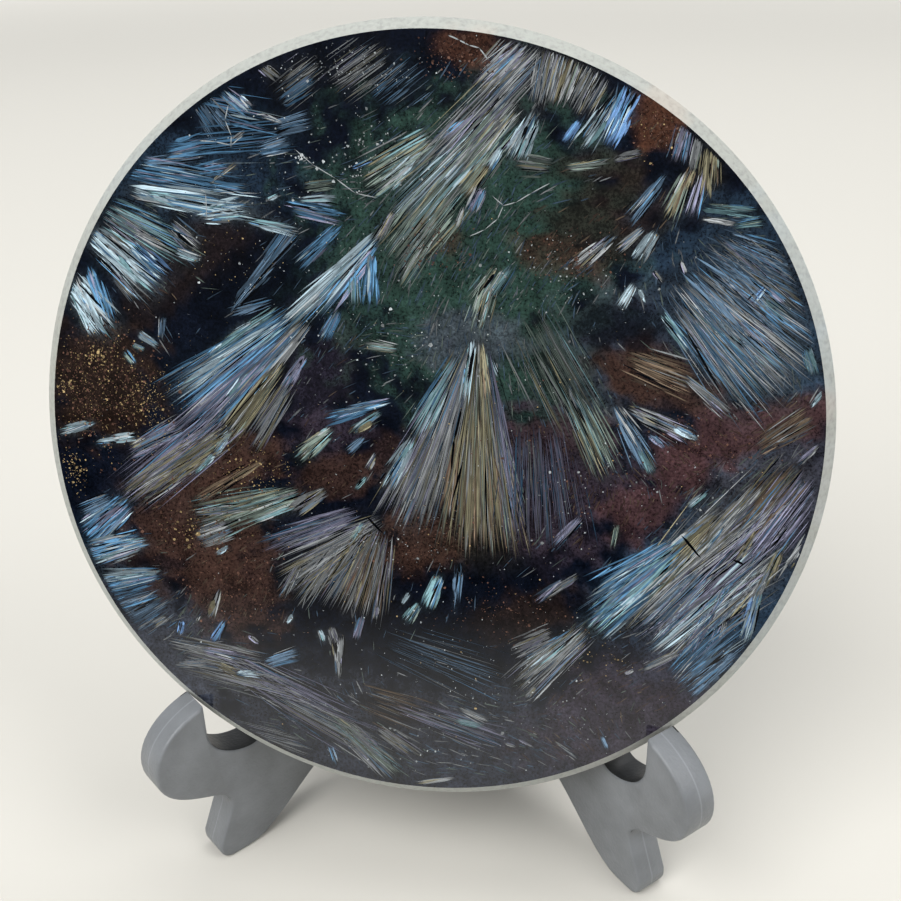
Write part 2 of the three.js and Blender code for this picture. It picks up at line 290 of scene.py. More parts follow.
    ("ice", -37.4, -1.0, -43.3, -2.1, 1.0, 0.6, 11, 0.38, 0.75),
    ("olive", -36.0, -1.2, -38.6, -2.3, 0.7, 0.6, 5, 0.38, 0.9),
    ("ice", -36.4, 12.6, -33.7, 10.9, 0.7, 0.7, 6, 0.36, 0.6),
    ("teal", -37.4, 11.0, -35.6, 10.4, 0.4, 0.5, 4, 0.34, 0.65),
    ("teal", -38.4, 10.2, -37.2, 8.4, 0.6, 0.8, 5, 0.38, 0.7),
    ("slate", -33.0, 14.8, -33.4, 11.6, 0.8, 0.9, 7, 0.24, 0.7),
    ("bronze", -20.4, -3.2, -30.2, -9.6, 0.7, 1.5, 20, 0.3, 0.8),
    ("moss", -15.2, -7.8, -23.2, -11.2, 1.8, 2.2, 22, 0.34, 0.95),
    ("silver", -22.6, -9.8, -30.4, -11.0, 1.0, 1.4, 15, 0.28, 0.55),
    ("silver", -25.2, -12.6, -30.2, -14.8, 2.0, 2.0, 15, 0.28, 0.55),
    ("ice", -25.7, -15.4, -27.6, -16.7, 0.3, 0.4, 3, 0.38, 0.75),
    ("blue", -39.4, -9.8, -46.0, -15.0, 1.8, 2.8, 26, 0.34, 0.72),
    ("blue", -37.4, -14.6, -46.2, -17.6, 1.8, 2.6, 26, 0.36, 0.8),
    ("ice", -38.4, -14.6, -45.4, -17.0, 1.0, 1.6, 9, 0.3, 0.65),
    ("slate", -41.4, -9.6, -46.0, -12.0, 1.4, 1.8, 12, 0.26, 0.8),
    ("ice", 6.2, 13.2, 5.2, 4.4, 0.8, 0.9, 10, 0.55, 0.97),
    ("olive", 7.2, 12.8, 8.0, 5.0, 0.6, 1.3, 12, 0.3, 0.95),
    ("olive", 6.9, 6.4, 7.4, -15.6, 2.2, 8.0, 60, 0.24, 0.64),
    ("bronze", 7.0, 2.0, 7.8, -16.0, 2.0, 8.0, 30, 0.22, 0.54),
    ("teal", 4.6, 11.2, -1.2, 0.0, 1.4, 3.2, 28, 0.28, 0.55),
    ("silver", 4.9, 11.6, 0.0, -1.0, 1.2, 3.4, 18, 0.22, 0.45),
    ("ice", 1.6, 5.4, -0.6, -0.2, 0.6, 0.8, 8, 0.32, 0.75),
    ("ice", -1.2, 0.4, -4.9, -6.7, 0.8, 1.9, 16, 0.42, 0.78),
    ("silver", 2.6, 2.4, -3.2, -12.4, 2.4, 5.4, 42, 0.24, 0.45),
    ("bronze", 4.7, 1.6, 2.9, -10.6, 0.4, 1.5, 15, 0.28, 0.75),
    ("blue", -3.8, 5.1, -13.0, 2.2, 0.7, 1.2, 15, 0.3, 0.7),
    ("teal", -5.2, 3.6, -9.2, 0.8, 0.6, 0.9, 8, 0.3, 0.55),
    ("olive", -6.2, 2.1, -8.5, 0.7, 0.4, 0.4, 3, 0.45, 0.95),
    ("moss", -11.2, 1.2, -16.4, -3.4, 0.9, 2.0, 16, 0.34, 0.92),
    ("silver", -5.9, -1.8, -7.2, -4.2, 0.4, 0.5, 4, 0.3, 0.55),
    ("teal", -7.1, -4.9, -8.7, -6.8, 0.3, 0.5, 4, 0.4, 0.9),
    ("slate", -7.4, 0.2, -9.8, -2.0, 0.6, 0.8, 6, 0.26, 0.8),
    ("silver", -12.4, -7.0, -17.2, -10.2, 1.0, 1.4, 13, 0.34, 0.6),
    ("teal", -7.6, -11.0, -9.4, -13.9, 0.5, 0.8, 6, 0.36, 0.85),
    ("lilac", -9.2, -10.4, -17.2, -14.6, 1.0, 2.4, 18, 0.26, 0.55),
    ("silver", -5.6, -11.4, -11.6, -24.2, 3.0, 9.4, 60, 0.22, 0.42),
    ("bronze", -6.0, -12.0, -9.6, -23.6, 2.6, 7.0, 40, 0.22, 0.62),
    ("silver", -10.4, -13.4, -17.4, -23.4, 1.6, 3.4, 22, 0.22, 0.4),
    ("moss", 12.0, 16.6, 20.8, 1.0, 5.0, 6.0, 26, 0.15, 0.4),
    ("silver", 17.7, 7.7, 19.3, 4.4, 0.2, 0.4, 3, 0.22, 0.6),
    ("ice", 8.5, 10.6, 9.3, 8.4, 0.2, 0.3, 3, 0.22, 0.75),
    ("lilac", 9.0, 3.2, 12.2, -14.2, 0.5, 1.4, 10, 0.22, 0.6),
    ("lilac", 14.2, 3.0, 15.6, -14.0, 5.0, 9.0, 46, 0.16, 0.18),
    ("moss", 8.2, 20.2, 6.4, 13.8, 1.8, 2.0, 16, 0.24, 0.9),
    ("blue", -10.4, 16.2, -12.6, 12.2, 0.8, 1.2, 8, 0.26, 0.6),
    ("moss", -3.0, 11.4, -7.6, 12.0, 0.8, 1.0, 8, 0.22, 0.85),
    ("silver", 30.8, 9.8, 37.6, 4.4, 0.8, 1.4, 11, 0.24, 0.55),
    ("bronze", 24.2, 11.4, 33.4, 8.0, 2.4, 3.4, 26, 0.24, 0.62),
    ("silver", 25.0, 5.2, 33.0, 1.7, 1.0, 1.8, 24, 0.34, 0.68),
    ("ice", 30.6, 3.2, 33.8, 1.5, 0.6, 0.8, 6, 0.48, 0.75),
    ("lilac", 27.8, 2.0, 29.8, 0.3, 0.6, 0.8, 7, 0.34, 0.85),
    ("olive", 26.2, 4.8, 29.2, 3.2, 0.4, 0.6, 5, 0.38, 0.95),
    ("slate", 23.4, 5.6, 28.6, -3.2, 0.8, 2.6, 22, 0.26, 0.95),
    ("teal", 26.8, 0.2, 28.5, -3.1, 0.8, 1.0, 8, 0.28, 0.6),
    ("moss", 18.0, 7.2, 23.6, -4.2, 2.6, 3.6, 26, 0.22, 0.7),
    ("silver", 48.0, 1.6, 45.4, -1.1, 0.5, 0.6, 6, 0.26, 0.6),
    ("bronze", 40.4, 0.6, 47.0, 5.4, 1.6, 2.4, 22, 0.22, 0.55),
    ("ice", 46.4, 6.0, 48.0, 8.5, 0.5, 0.7, 6, 0.28, 0.6),
    ("ice", 35.2, -4.9, 32.9, -7.1, 0.4, 0.5, 5, 0.34, 0.72),
    ("blue", 33.2, -11.2, 22.6, -20.2, 1.8, 4.4, 46, 0.36, 0.72),
    ("teal", 32.0, -13.2, 25.6, -19.4, 1.2, 2.4, 20, 0.38, 0.8),
    ("olive", 36.8, -7.8, 31.4, -14.8, 1.2, 2.4, 24, 0.32, 0.72),
    ("silver", 41.4, -3.8, 34.8, -12.4, 1.2, 1.8, 22, 0.26, 0.55),
    ("ice", 37.8, -8.8, 35.0, -13.2, 0.2, 0.3, 4, 0.26, 0.7),
    ("lilac", 47.4, -1.8, 39.8, -14.4, 4.6, 5.0, 30, 0.24, 0.64),
    ("bronze", 46.0, -0.6, 38.6, -11.0, 4.0, 4.0, 18, 0.2, 0.46),
    ("olive", 41.6, -9.4, 39.4, -14.2, 0.6, 1.0, 10, 0.32, 0.7),
    ("olive", 44.6, -11.8, 42.8, -17.4, 0.6, 1.0, 10, 0.3, 0.55),
    ("silver", 47.4, -10.8, 45.4, -14.2, 0.4, 0.5, 5, 0.24, 0.6),
    ("lilac", 20.2, -8.9, 16.7, -13.2, 0.8, 1.2, 9, 0.26, 0.62),
    ("moss", 24.6, -9.6, 24.0, -13.2, 0.4, 0.4, 4, 0.22, 0.75),
    ("teal", 45.4, 13.2, 46.8, 9.8, 0.8, 1.0, 9, 0.26, 0.5),
    ("ice", -35.0, -19.4, -45.2, -21.2, 0.9, 2.4, 20, 0.3, 0.62),
    ("blue", -35.6, -20.2, -44.6, -22.6, 1.4, 2.6, 20, 0.3, 0.6),
    ("slate", -35.4, -22.8, -43.2, -26.4, 1.8, 3.4, 22, 0.2, 0.58),
    ("silver", -34.8, -25.8, -37.2, -27.5, 0.5, 0.6, 5, 0.28, 0.45),
    ("silver", -27.2, -21.4, -28.9, -26.0, 0.5, 1.1, 7, 0.55, 0.72),
    ("azure", -26.8, -25.9, -28.9, -29.4, 0.7, 1.0, 8, 0.4, 0.97),
    ("azure", -32.8, -26.3, -33.3, -28.5, 0.5, 0.6, 4, 0.42, 0.9),
    ("silver", -30.2, -25.4, -30.8, -26.4, 0.2, 0.2, 2, 0.3, 0.75),
    ("ice", -17.4, -24.4, -18.3, -25.9, 0.3, 0.3, 3, 0.4, 0.7),
    ("silver", -23.6, -27.9, -22.2, -29.1, 0.5, 0.5, 4, 0.45, 0.62),
    ("lilac", -30.2, -30.4, -24.4, -31.6, 0.8, 1.6, 13, 0.28, 0.62),
    ("ice", -25.6, -33.7, -21.8, -33.6, 0.4, 0.8, 6, 0.34, 0.55),
    ("silver", -34.4, -33.0, -28.8, -32.5, 0.6, 1.0, 8, 0.26, 0.4),
    ("olive", -28.4, -32.4, -24.8, -34.2, 0.7, 0.9, 9, 0.3, 0.5),
    ("silver", -16.0, -16.8, -19.0, -22.6, 0.8, 1.2, 8, 0.22, 0.5),
    ("slate", -21.6, -31.8, -16.4, -29.8, 1.2, 1.6, 10, 0.26, 0.75),
    ("silver", -11.4, -26.8, -11.3, -33.6, 1.5, 0.4, 9, 0.42, 0.68),
    ("ice", -13.9, -26.4, -13.2, -28.2, 0.4, 0.4, 3, 0.48, 0.8),
    ("silver", -12.4, -25.8, -11.4, -29.0, 1.0, 0.9, 7, 0.3, 0.45),
    ("teal", 2.3, -17.7, 0.5, -22.6, 0.9, 1.3, 14, 0.38, 0.9),
    ("teal", -0.4, -21.8, -2.2, -24.6, 0.8, 1.2, 9, 0.3, 0.7),
    ("ice", -1.7, -20.4, -2.7, -22.1, 0.4, 0.5, 4, 0.4, 0.7),
    ("silver", -6.0, -22.4, -6.3, -24.6, 0.4, 0.4, 4, 0.28, 0.5),
    ("slate", 4.8, -15.8, 4.2, -22.8, 0.7, 0.7, 8, 0.28, 0.85),
    ("lilac", -8.0, -23.8, -9.1, -27.6, 0.7, 0.9, 8, 0.28, 0.55),
    ("silver", 4.8, -36.4, 9.2, -38.3, 0.6, 0.7, 8, 0.3, 0.6),
    ("teal", 4.2, -38.2, 8.4, -38.8, 0.6, 0.8, 7, 0.24, 0.45),
    ("bronze", -9.4, -35.4, 2.2, -39.0, 3.4, 5.8, 14, 0.16, 0.28),
    ("silver", -11.2, -39.8, -3.4, -47.6, 1.8, 2.8, 26, 0.3, 0.38),
    ("silver", -6.2, -40.2, 0.4, -44.4, 1.4, 1.8, 16, 0.26, 0.36),
    ("slate", -12.8, -43.4, -11.8, -46.6, 0.5, 0.6, 5, 0.34, 0.95),
    ("silver", 4.6, -46.8, -1.2, -48.2, 0.4, 0.5, 5, 0.3, 0.62),
    ("silver", 11.0, -41.0, 12.8, -41.5, 0.2, 0.3, 2, 0.24, 0.5),
    ("silver", 12.8, -40.3, 15.2, -41.6, 0.2, 0.3, 2, 0.22, 0.45),
    ("silver", 17.4, -24.8, 11.8, -28.4, 2.4, 3.0, 22, 0.26, 0.36),
    ("silver", 17.8, -27.6, 13.0, -32.2, 0.9, 1.6, 13, 0.32, 0.5),
    ("silver", 15.2, -32.4, 13.7, -34.4, 0.4, 0.4, 4, 0.28, 0.45),
    ("lilac", 18.2, -17.3, 14.4, -20.9, 0.5, 0.9, 8, 0.28, 0.65),
    ("blue", 30.2, -15.8, 21.2, -23.8, 2.6, 3.6, 40, 0.34, 0.62),
    ("ice", 28.6, -17.8, 23.6, -22.4, 1.0, 1.6, 11, 0.3, 0.68),
    ("ice", 20.8, -24.0, 13.8, -30.6, 1.2, 2.4, 20, 0.34, 0.58),
    ("silver", 20.2, -16.6, 15.4, -20.3, 0.6, 1.0, 10, 0.3, 0.5),
    ("slate", 36.2, -14.8, 28.8, -24.4, 2.8, 4.0, 28, 0.24, 0.78),
    ("lilac", 38.8, -15.8, 33.8, -27.2, 2.0, 3.0, 20, 0.24, 0.58),
    ("silver", 33.4, -26.1, 28.6, -29.2, 0.6, 0.7, 9, 0.34, 0.55),
    ("silver", 27.7, -29.2, 26.3, -30.0, 0.3, 0.4, 3, 0.3, 0.55),
    ("silver", 38.6, -21.6, 38.1, -24.8, 0.3, 0.4, 4, 0.26, 0.55),
    ("ice", 42.5, -16.4, 40.9, -25.0, 0.6, 1.2, 13, 0.34, 0.68),
    ("silver", 43.6, -13.8, 41.7, -19.2, 0.5, 0.6, 6, 0.26, 0.55),
    ("slate", 40.2, -25.8, 34.4, -32.2, 1.8, 3.0, 28, 0.26, 0.8),
    ("slate", 23.8, -38.9, 24.7, -40.9, 0.4, 0.4, 3, 0.3, 0.95),
    ("silver", 17.6, -40.2, 21.2, -42.7, 0.2, 0.3, 2, 0.22, 0.42),
    ("blue", -37.0, 33.2, -21.0, 30.6, 3.0, 3.4, 15, 0.26, 0.58),
    ("ice", -36.6, 30.0, -19.6, 27.6, 1.6, 2.2, 20, 0.3, 0.78),
    ("teal", -40.4, 28.2, -28.0, 22.4, 2.6, 4.0, 18, 0.24, 0.6),
    ("ice", -42.2, 25.0, -32.8, 17.8, 2.2, 3.8, 30, 0.4, 0.85),
    ("ice", -45.4, 19.0, -39.2, 12.0, 2.2, 3.2, 24, 0.45, 0.9),
    ("blue", -31.4, 35.2, -14.6, 36.8, 2.8, 3.0, 9, 0.22, 0.44),
    ("blue", -28.4, 40.6, -15.6, 38.0, 2.8, 4.0, 8, 0.22, 0.4),
    ("slate", -24.4, 15.4, -15.4, 26.2, 0.5, 1.5, 13, 0.22, 0.7),
    ("silver", 14.2, 47.0, -2.0, 30.4, 4.0, 4.6, 14, 0.22, 0.58),
    ("moss", 10.2, 40.2, -6.4, 22.0, 3.6, 6.0, 30, 0.2, 0.52),
    ("ice", 9.0, 39.6, -4.6, 26.0, 2.6, 4.0, 12, 0.24, 0.6),
    ("silver", 24.0, -24.4, 47.2, -1.8, 3.0, 10.0, 14, 0.22, 0.7),
    ("lilac", 27.0, -26.2, 47.6, -8.4, 3.0, 8.0, 10, 0.2, 0.6),
    ("ice", 29.4, -27.0, 43.6, -12.6, 2.0, 5.0, 30, 0.24, 0.62),
    ("olive", 28.0, -19.4, 38.4, -7.4, 2.0, 2.6, 24, 0.28, 0.72),
    ("teal", 21.4, -24.4, 33.0, -11.4, 2.6, 2.4, 34, 0.34, 0.85),
    ("silver", -35.4, -29.2, -20.2, -31.8, 2.4, 2.4, 20, 0.2, 0.42),
    ("silver", -34.4, -32.4, -12.6, -36.2, 2.4, 4.4, 20, 0.18, 0.38),
    ("lilac", -28.4, -30.4, -8.6, -40.4, 2.8, 5.4, 20, 0.18, 0.4),
    ("silver", -22.4, -35.4, -1.8, -45.2, 2.4, 5.4, 20, 0.18, 0.4),
    ("moss", -13.2, -39.0, -2.2, -47.6, 1.2, 2.2, 18, 0.26, 0.54),
    ("lilac", -5.0, -36.0, 12.8, -41.4, 2.6, 5.0, 14, 0.18, 0.38),
    ("slate", -5.8, -27.0, 12.4, -33.4, 4.2, 7.4, 16, 0.14, 0.32),
    ("silver", -27.8, -41.4, -14.2, -45.0, 2.4, 3.4, 14, 0.18, 0.32),
    ("slate", 30.0, 22.0, 46.0, 8.0, 5.0, 12.0, 40, 0.18, 0.76),
    ("silver", 33.4, 26.4, 46.6, 15.4, 4.0, 7.0, 22, 0.16, 0.46),
    ("silver", 30.0, 21.0, 46.0, 7.0, 5.0, 11.0, 54, 0.15, 0.64),
    ("teal", 31.0, 18.4, 43.4, 8.0, 3.0, 7.0, 20, 0.16, 0.5),
    ("silver", 6.4, 13.6, -2.2, -12.0, 0.7, 7.0, 56, 0.16, 0.52),
    ("olive", 7.0, 13.2, 7.4, -15.4, 0.5, 7.0, 56, 0.16, 0.56),
    ("lilac", 8.0, 12.4, 12.4, -14.0, 0.4, 3.0, 22, 0.14, 0.4),
    ("lilac", -24.0, 4.0, -41.0, -10.0, 5.0, 5.0, 44, 0.2, 0.55),
    ("olive", -24.0, 1.0, -40.0, -9.6, 2.4, 3.0, 34, 0.2, 0.58),
    ("blue", -39.0, -9.6, -46.0, -15.4, 2.4, 3.4, 18, 0.28, 0.8),
    ("ice", -36.4, -15.4, -45.4, -18.2, 1.2, 2.0, 16, 0.26, 0.72),
    ("blue", -35.0, -19.8, -43.8, -22.2, 1.2, 2.0, 11, 0.26, 0.6),
    ("slate", -34.0, -23.4, -40.6, -28.0, 3.6, 4.0, 18, 0.18, 0.48),
    ("moss", -17.0, -7.6, -31.0, -12.6, 2.0, 4.6, 34, 0.22, 0.64),
    ("silver", -5.0, -10.6, -19.4, -20.2, 1.4, 6.0, 36, 0.2, 0.52),
    ("lilac", -8.0, -9.6, -22.0, -15.6, 1.4, 3.0, 26, 0.2, 0.5),
    ("silver", 26.0, -24.2, 43.0, -3.0, 1.4, 6.0, 18, 0.2, 0.66),
    ("lilac", 29.0, -26.2, 46.4, -6.0, 1.4, 6.0, 18, 0.2, 0.62),
    ("silver", 31.0, -28.2, 45.6, -12.0, 1.4, 5.0, 16, 0.22, 0.64),
    ("blue", 32.0, -30.0, 42.4, -17.4, 2.0, 5.0, 16, 0.22, 0.52),
    ("slate", 33.0, -31.2, 41.0, -22.0, 2.0, 4.0, 16, 0.22, 0.62),
    ("silver", 21.6, -23.4, 12.0, -33.6, 2.4, 3.4, 38, 0.22, 0.55),
    ("silver", 16.0, 46.6, 14.0, 40.0, 4.0, 3.0, 26, 0.18, 0.58),
    ("silver", 20.0, 43.8, 17.6, 39.0, 3.0, 2.4, 20, 0.18, 0.52),
    ("silver", -4.0, 46.4, -11.0, 41.8, 4.0, 4.0, 22, 0.14, 0.36),
    ("silver", -12.0, 45.2, -18.0, 41.0, 3.6, 4.0, 16, 0.14, 0.34),
    ("slate", 0.0, 44.8, -6.0, 40.4, 4.0, 4.0, 16, 0.14, 0.48),
    ("ice", -5.2, 25.4, -18.5, 12.8, 1.0, 2.4, 22, 0.28, 0.68),
    ("azure", -37.4, 24.0, -32.0, 19.0, 1.6, 2.4, 8, 0.34, 0.7),
    ("azure", -40.6, -10.8, -45.4, -15.2, 1.4, 1.8, 9, 0.3, 0.55),
    ("azure", -20.0, 12.6, -30.0, 3.6, 2.0, 4.0, 20, 0.24, 0.58),
    ("azure", 29.8, -15.0, 22.6, -21.4, 2.0, 3.0, 16, 0.28, 0.55),
    ("azure", 42.2, -18.0, 40.8, -24.6, 0.8, 1.2, 8, 0.28, 0.62),
    ("silver", 30.8, -12.8, 38.6, -5.2, 0.5, 0.8, 4, 0.44, 0.85),
    ("ice", 22.6, -20.6, 32.0, -12.4, 1.4, 1.6, 8, 0.46, 0.8),
    ("silver", 33.6, -17.6, 41.8, -8.6, 2.0, 2.6, 6, 0.36, 0.78),
    ("silver", 37.4, -23.8, 44.6, -12.2, 1.4, 1.8, 6, 0.34, 0.74),
    ("silver", 29.8, -24.6, 36.8, -15.0, 1.6, 1.6, 6, 0.36, 0.7),
]

# Hair cracks healed with pale mineral, and open dark ones: family, width in mm, points in mm
VEINS = [
    ("frost", 0.13, [(-27.2, 36.0), (-25.2, 35.9), (-23.3, 35.5), (-21.8, 36.6)]),
    ("frost", 0.11, [(-23.4, 40.2), (-23.9, 38.4), (-23.2, 36.6), (-23.3, 35.3)]),
    ("frost", 0.14, [(-20.1, 39.0), (-18.8, 39.1), (-17.0, 38.2)]),
    ("frost", 0.12, [(-27.4, 30.3), (-26.7, 30.0), (-26.7, 26.9)]),
    ("frost", 0.12, [(-15.6, 35.2), (-13.4, 33.4), (-10.6, 31.8), (-8.2, 30.1), (-5.6, 29.6)]),
    ("frost", 0.12, [(15.0, 31.6), (12.8, 30.4), (11.0, 29.3), (9.5, 28.9), (8.2, 30.0)]),
    ("frost", 0.12, [(9.5, 28.9), (8.9, 27.4), (7.4, 26.1), (5.6, 25.3)]),
    ("frost", 0.16, [(2.8, 47.8), (4.0, 47.3), (5.2, 46.7), (6.4, 46.4), (7.4, 45.2)]),
    ("crack", 0.36, [(32.4, -10.7), (34.8, -13.3)]),
    ("crack", 0.3, [(38.8, -13.5), (40.1, -14.0)]),
    ("crack", 0.34, [(-7.4, -10.2), (-5.2, -12.4)]),
    ("crack", 0.3, [(4.9, 4.6), (4.0, 0.4), (3.6, -3.4)]),
    ("crack", 0.26, [(5.1, -2.4), (3.7, -8.0)]),
]

# Flecks and grains: family, centre in mm, half extents, how many, size in mm
FLECK_PATCHES = [
    ("gold", -42, 5.5, 7.6, 7.4, 480, 0.16),
    ("gold", -36, 3.0, 3.6, 4.4, 260, 0.16),
    ("copper", -42, 5.5, 7.8, 7.6, 700, 0.24),
    ("gold", -42, 9.5, 1.8, 1.2, 50, 0.26),
    ("gold", -46.6, 5.6, 1.0, 0.8, 26, 0.26),
    ("gold", -46.4, -6.0, 1.6, 2.6, 110, 0.18),
    ("gold", -22, -5.0, 6.0, 3.4, 200, 0.16),
    ("copper", -30, -14, 9.0, 8.0, 500, 0.2),
    ("copper", -25, -22, 7.0, 6.0, 300, 0.2),
    ("gold", -31, -13.5, 3.0, 3.0, 60, 0.22),
    ("frost", -9, 44.3, 9.0, 2.6, 200, 0.15),
    ("copper", 4, 45.6, 4.4, 2.6, 260, 0.2),
    ("gold", -25, 23.5, 5.0, 4.0, 50, 0.15),
    ("frost", 0, -14, 5.0, 4.0, 40, 0.2),
    ("copper", 0, -13, 5.0, 4.0, 240, 0.18),
    ("copper", 27, 38, 3.0, 3.2, 240, 0.2),
    ("gold", 27, 38, 3.0, 3.2, 40, 0.18),
    ("copper", 1.5, 24, 4.0, 2.6, 160, 0.18),
    ("copper", 17, 23, 6.5, 3.0, 220, 0.18),
    ("frost", 16, 21, 9.0, 5.0, 90, 0.2),
    ("frost", -8, 34.5, 9.0, 6.0, 150, 0.2),
    ("frost", -7.5, 36, 0.6, 0.5, 10, 0.32),
    ("frost", -14.4, 34, 0.9, 0.5, 22, 0.28),
    ("frost", -4, 12, 10.0, 7.0, 110, 0.18),
    ("copper", 34, 1.5, 10.0, 4.0, 320, 0.18),
    ("frost", 31, -4, 8.0, 5.0, 70, 0.18),
    ("frost", -20, 28, 14.0, 12.0, 120, 0.18),
    ("frost", 5, -31, 15.0, 8.0, 110, 0.15),
    ("copper", 11, -22, 8.0, 4.0, 180, 0.18),
    ("gold", 23, -28.5, 4.0, 3.0, 50, 0.17),
    ("frost", 19, -36, 12.0, 7.0, 100, 0.15),
    ("frost", 4, -42, 8.0, 4.0, 26, 0.24),
    ("copper", 16, -4, 10.0, 8.0, 90, 0.2),
    ("frost", 16, -8, 10.0, 8.0, 40, 0.2),
    ("frost", 0, 0, 45.0, 45.0, 900, 0.13),
    ("gold", 0, -6, 42.0, 34.0, 420, 0.12),
]

# Each blade of a spray is a bundle of needles, some of them of the minerals it grows with
NEEDLES_PER_BLADE = 3.4
NEIGHBOURS = {
    "ice": ("blue", "silver", "teal"),
    "blue": ("ice", "slate", "lilac"),
    "silver": ("lilac", "olive", "slate"),
    "lilac": ("silver", "blue", "slate"),
    "teal": ("ice", "blue", "moss"),
    "moss": ("teal", "silver", "olive"),
    "olive": ("silver", "bronze", "moss"),
    "bronze": ("olive", "umber_fibre", "silver"),
    "slate": ("blue", "silver", "slate"),
    "azure": ("blue", "ice", "azure"),
}

# Share of needles of each of the three neighbours, and of dark gaps in a spray of full tone
NEIGHBOUR_SHARE = 0.1
GAP_SHARE = 0.15

# Shares of a spray's length that its needles take, in sprays longer and shorter than this length in mm
LONG_SPRAY = 6
LONG_SPRAY_SHARES = (0.25, 0.75)
SHORT_SPRAY_SHARES = (0.5, 1.0)

# Needles lie this far off a spray's middle and at most so far, in shares of its span,
# and wander off its direction by this much, in radians
NEEDLE_SPREAD = 0.34
NEEDLE_REACH = 0.8
NEEDLE_WANDER = 0.035

# A needle's share of its spray's tone: base, range, shape of the draws in that range, and the tone's limits.
# Its lift is drawn between shares of the tallest one's
NEEDLE_TONE_BASE = 0.22
NEEDLE_TONE_RANGE = 1.3
NEEDLE_TONE_SHAPE = (1.2, 1.7)
NEEDLE_TONES = (0.06, 0.98)
NEEDLE_LIFTS = (0.3, 1.0)

# Share of needles that are as wide as the table says, share of that width in the others, and its spread
WIDE_SHARE = 0.07
THIN_WIDTH = 0.48
WIDTH_SPREAD = 0.35

# Cracks are slivers that overlap by this factor, with this tone and share of the lift
VEIN_OVERLAP = 1.12
VEIN_TONE = 0.7
VEIN_LIFT = 1.1

# Blades are cut off this far in mm inside the edge of the face, and the shortest ones left out
EDGE_MARGIN = 0.35
SHORTEST_BLADE = 0.3

# Glow of a spray's deeper blades in the rock: share of their colour, least span in mm, width in spans,
# end in half lengths, cover, raggedness with its limits, and share of the rock's warmth that it takes
GLOW = 0.13
GLOW_LEAST_SPAN = 0.6
GLOW_WIDTH = 0.6
GLOW_END = 1.2
GLOW_COVER = 0.7
GLOW_RAGGED = 0.8
GLOW_LIMITS = (0.2, 1.3)
GLOW_COOLING = 0.5

# The crystals run through the slice: every few blades show on the sawn back too, less bright
BACK_STEP = 3
BACK_TONE = 0.6

# Loose fibres that fill the ground between the sprays, and how far in mm a spray turns them
FIBRES = 8000
FIBRE_REACH = 4.5

# Radius of the field of fibres, their lengths and widths in mm, and how far they wander, in radians
FIBRE_FIELD = 46.5
FIBRE_LENGTHS = (0.5, 2.8)
FIBRE_WIDTHS = (0.06, 0.16)
FIBRE_WANDER = 0.14

# Fibres get fewer towards this darkest rock, over this range of brightness, down to this share
FIBRE_DARKEST = 0.007
FIBRE_RANGE = 0.02
FIBRE_LEAST = 0.05

# Fibres turn brown somewhere between these warmths of the rock, and are shorter by this share in the warmest
WARM_LIMITS = (0.2, 0.8)
WARM_SHORTENING = 0.4

# Tone of fibres: base, range and shape of the draws in that range, and their shares of the tallest lift
FIBRE_TONE_BASE = 0.08
FIBRE_TONE_RANGE = 0.46
FIBRE_TONE_SHAPE = (1.4, 2.6)
FIBRE_LIFTS = (0.2, 0.5)

# A fleck is a flat chip: its sides, how far its corners shift in shares of the step between them,
# their reach in half sizes, its shares of the tallest needle's lift, and its change of tone
FLECK_SIDES = 5
FLECK_SHIFT = 0.3
FLECK_REACHES = (0.55, 1.2)
FLECK_LIFTS = (1.05, 1.3)
FLECK_TONE_WIDTH = 0.012

# Where flecks lie along the blades' fade, at their keel and round it
FLECK_ALONG = 0.45
FLECK_ALONG_WIDTH = 0.1

# Spread of flecks in half extents, mean and spread of the logarithm of their size and of their tone,
# and limits of the tone
FLECK_SPREAD = 0.55
FLECK_SIZES = (-0.25, 0.45)
FLECK_TONE = (0.6, 0.22)
FLECK_TONES = (0.1, 0.98)

# Raggedness of the rock's patches: waves per mm, level at which the noise is cut, its increment, gap between
# frequencies and octaves, its strength, and where a patch ends and fades
RAGGED_WAVES = 0.35
RAGGED_LEVEL = 3.0
RAGGED_NOISE = (0.9, 2.0, 4)
RAGGED_SHARE = 0.55
PATCH_END = 1.25
PATCH_FADE = 0.6

# Values that noise seldom leaves, and how far grain and clouds lighten and darken the rock
NOISE_LOW = 0.35
NOISE_HIGH = 0.65
GRAIN_CONTRAST = 0.58
MOTTLE_CONTRAST = 0.35

# Refractive index of the minerals; roughness of lapped rock, of the blades in it and of ground rock
MINERAL_IOR = 1.5
LAPPED_ROUGHNESS = 0.07
BLADE_ROUGHNESS = 0.1
GROUND_ROUGHNESS = 0.75

# Shares of the ground's and of its own colour in the dullest blade, and of its own in one of middle tone
DULL_GROUND = 0.55
DULL_OWN = 0.06
MIDDLE_OWN = 0.36

# Streaks along blades: waves over the range of tones and over a blade's length, values that their noise
# seldom leaves, and the brightness at those
STREAK_WAVES = (220, 5, 1)
STREAK_NOISE = (0.3, 0.7)
STREAK_SHADES = (0.55, 1.2)

# Shares of its length between which a blade is bright
BRIGHT_FROM = 0.16
BRIGHT_TO = 0.74

# Plastic: refractive index, limits of roughness, clouds for each grain of orange peel, core and strength of
# the mould line, its painted highlight, and the painted shade in the hollows
PLASTIC_IOR = 1.52
PLASTIC_ROUGHNESS = (0.36, 0.5)
PLASTIC_CLOUDS = 0.1
LINE_CORE = 0.3
LINE_STRENGTH = 0.28
PAINTED_LINE_HIGHLIGHT = 2.2
PAINTED_HOLLOW_SHADE = 0.06

# Trace of the rock's colour in the ground edge, and the dull share of the sawn back
EDGE_STAIN = 1.3
SAWN_SHARE = 0.4

FAMILIES = (
    "ice", "blue", "azure", "silver", "lilac", "teal", "moss", "olive", "bronze", "slate", "umber_fibre",
    "frost", "gold", "copper", "crack",
)


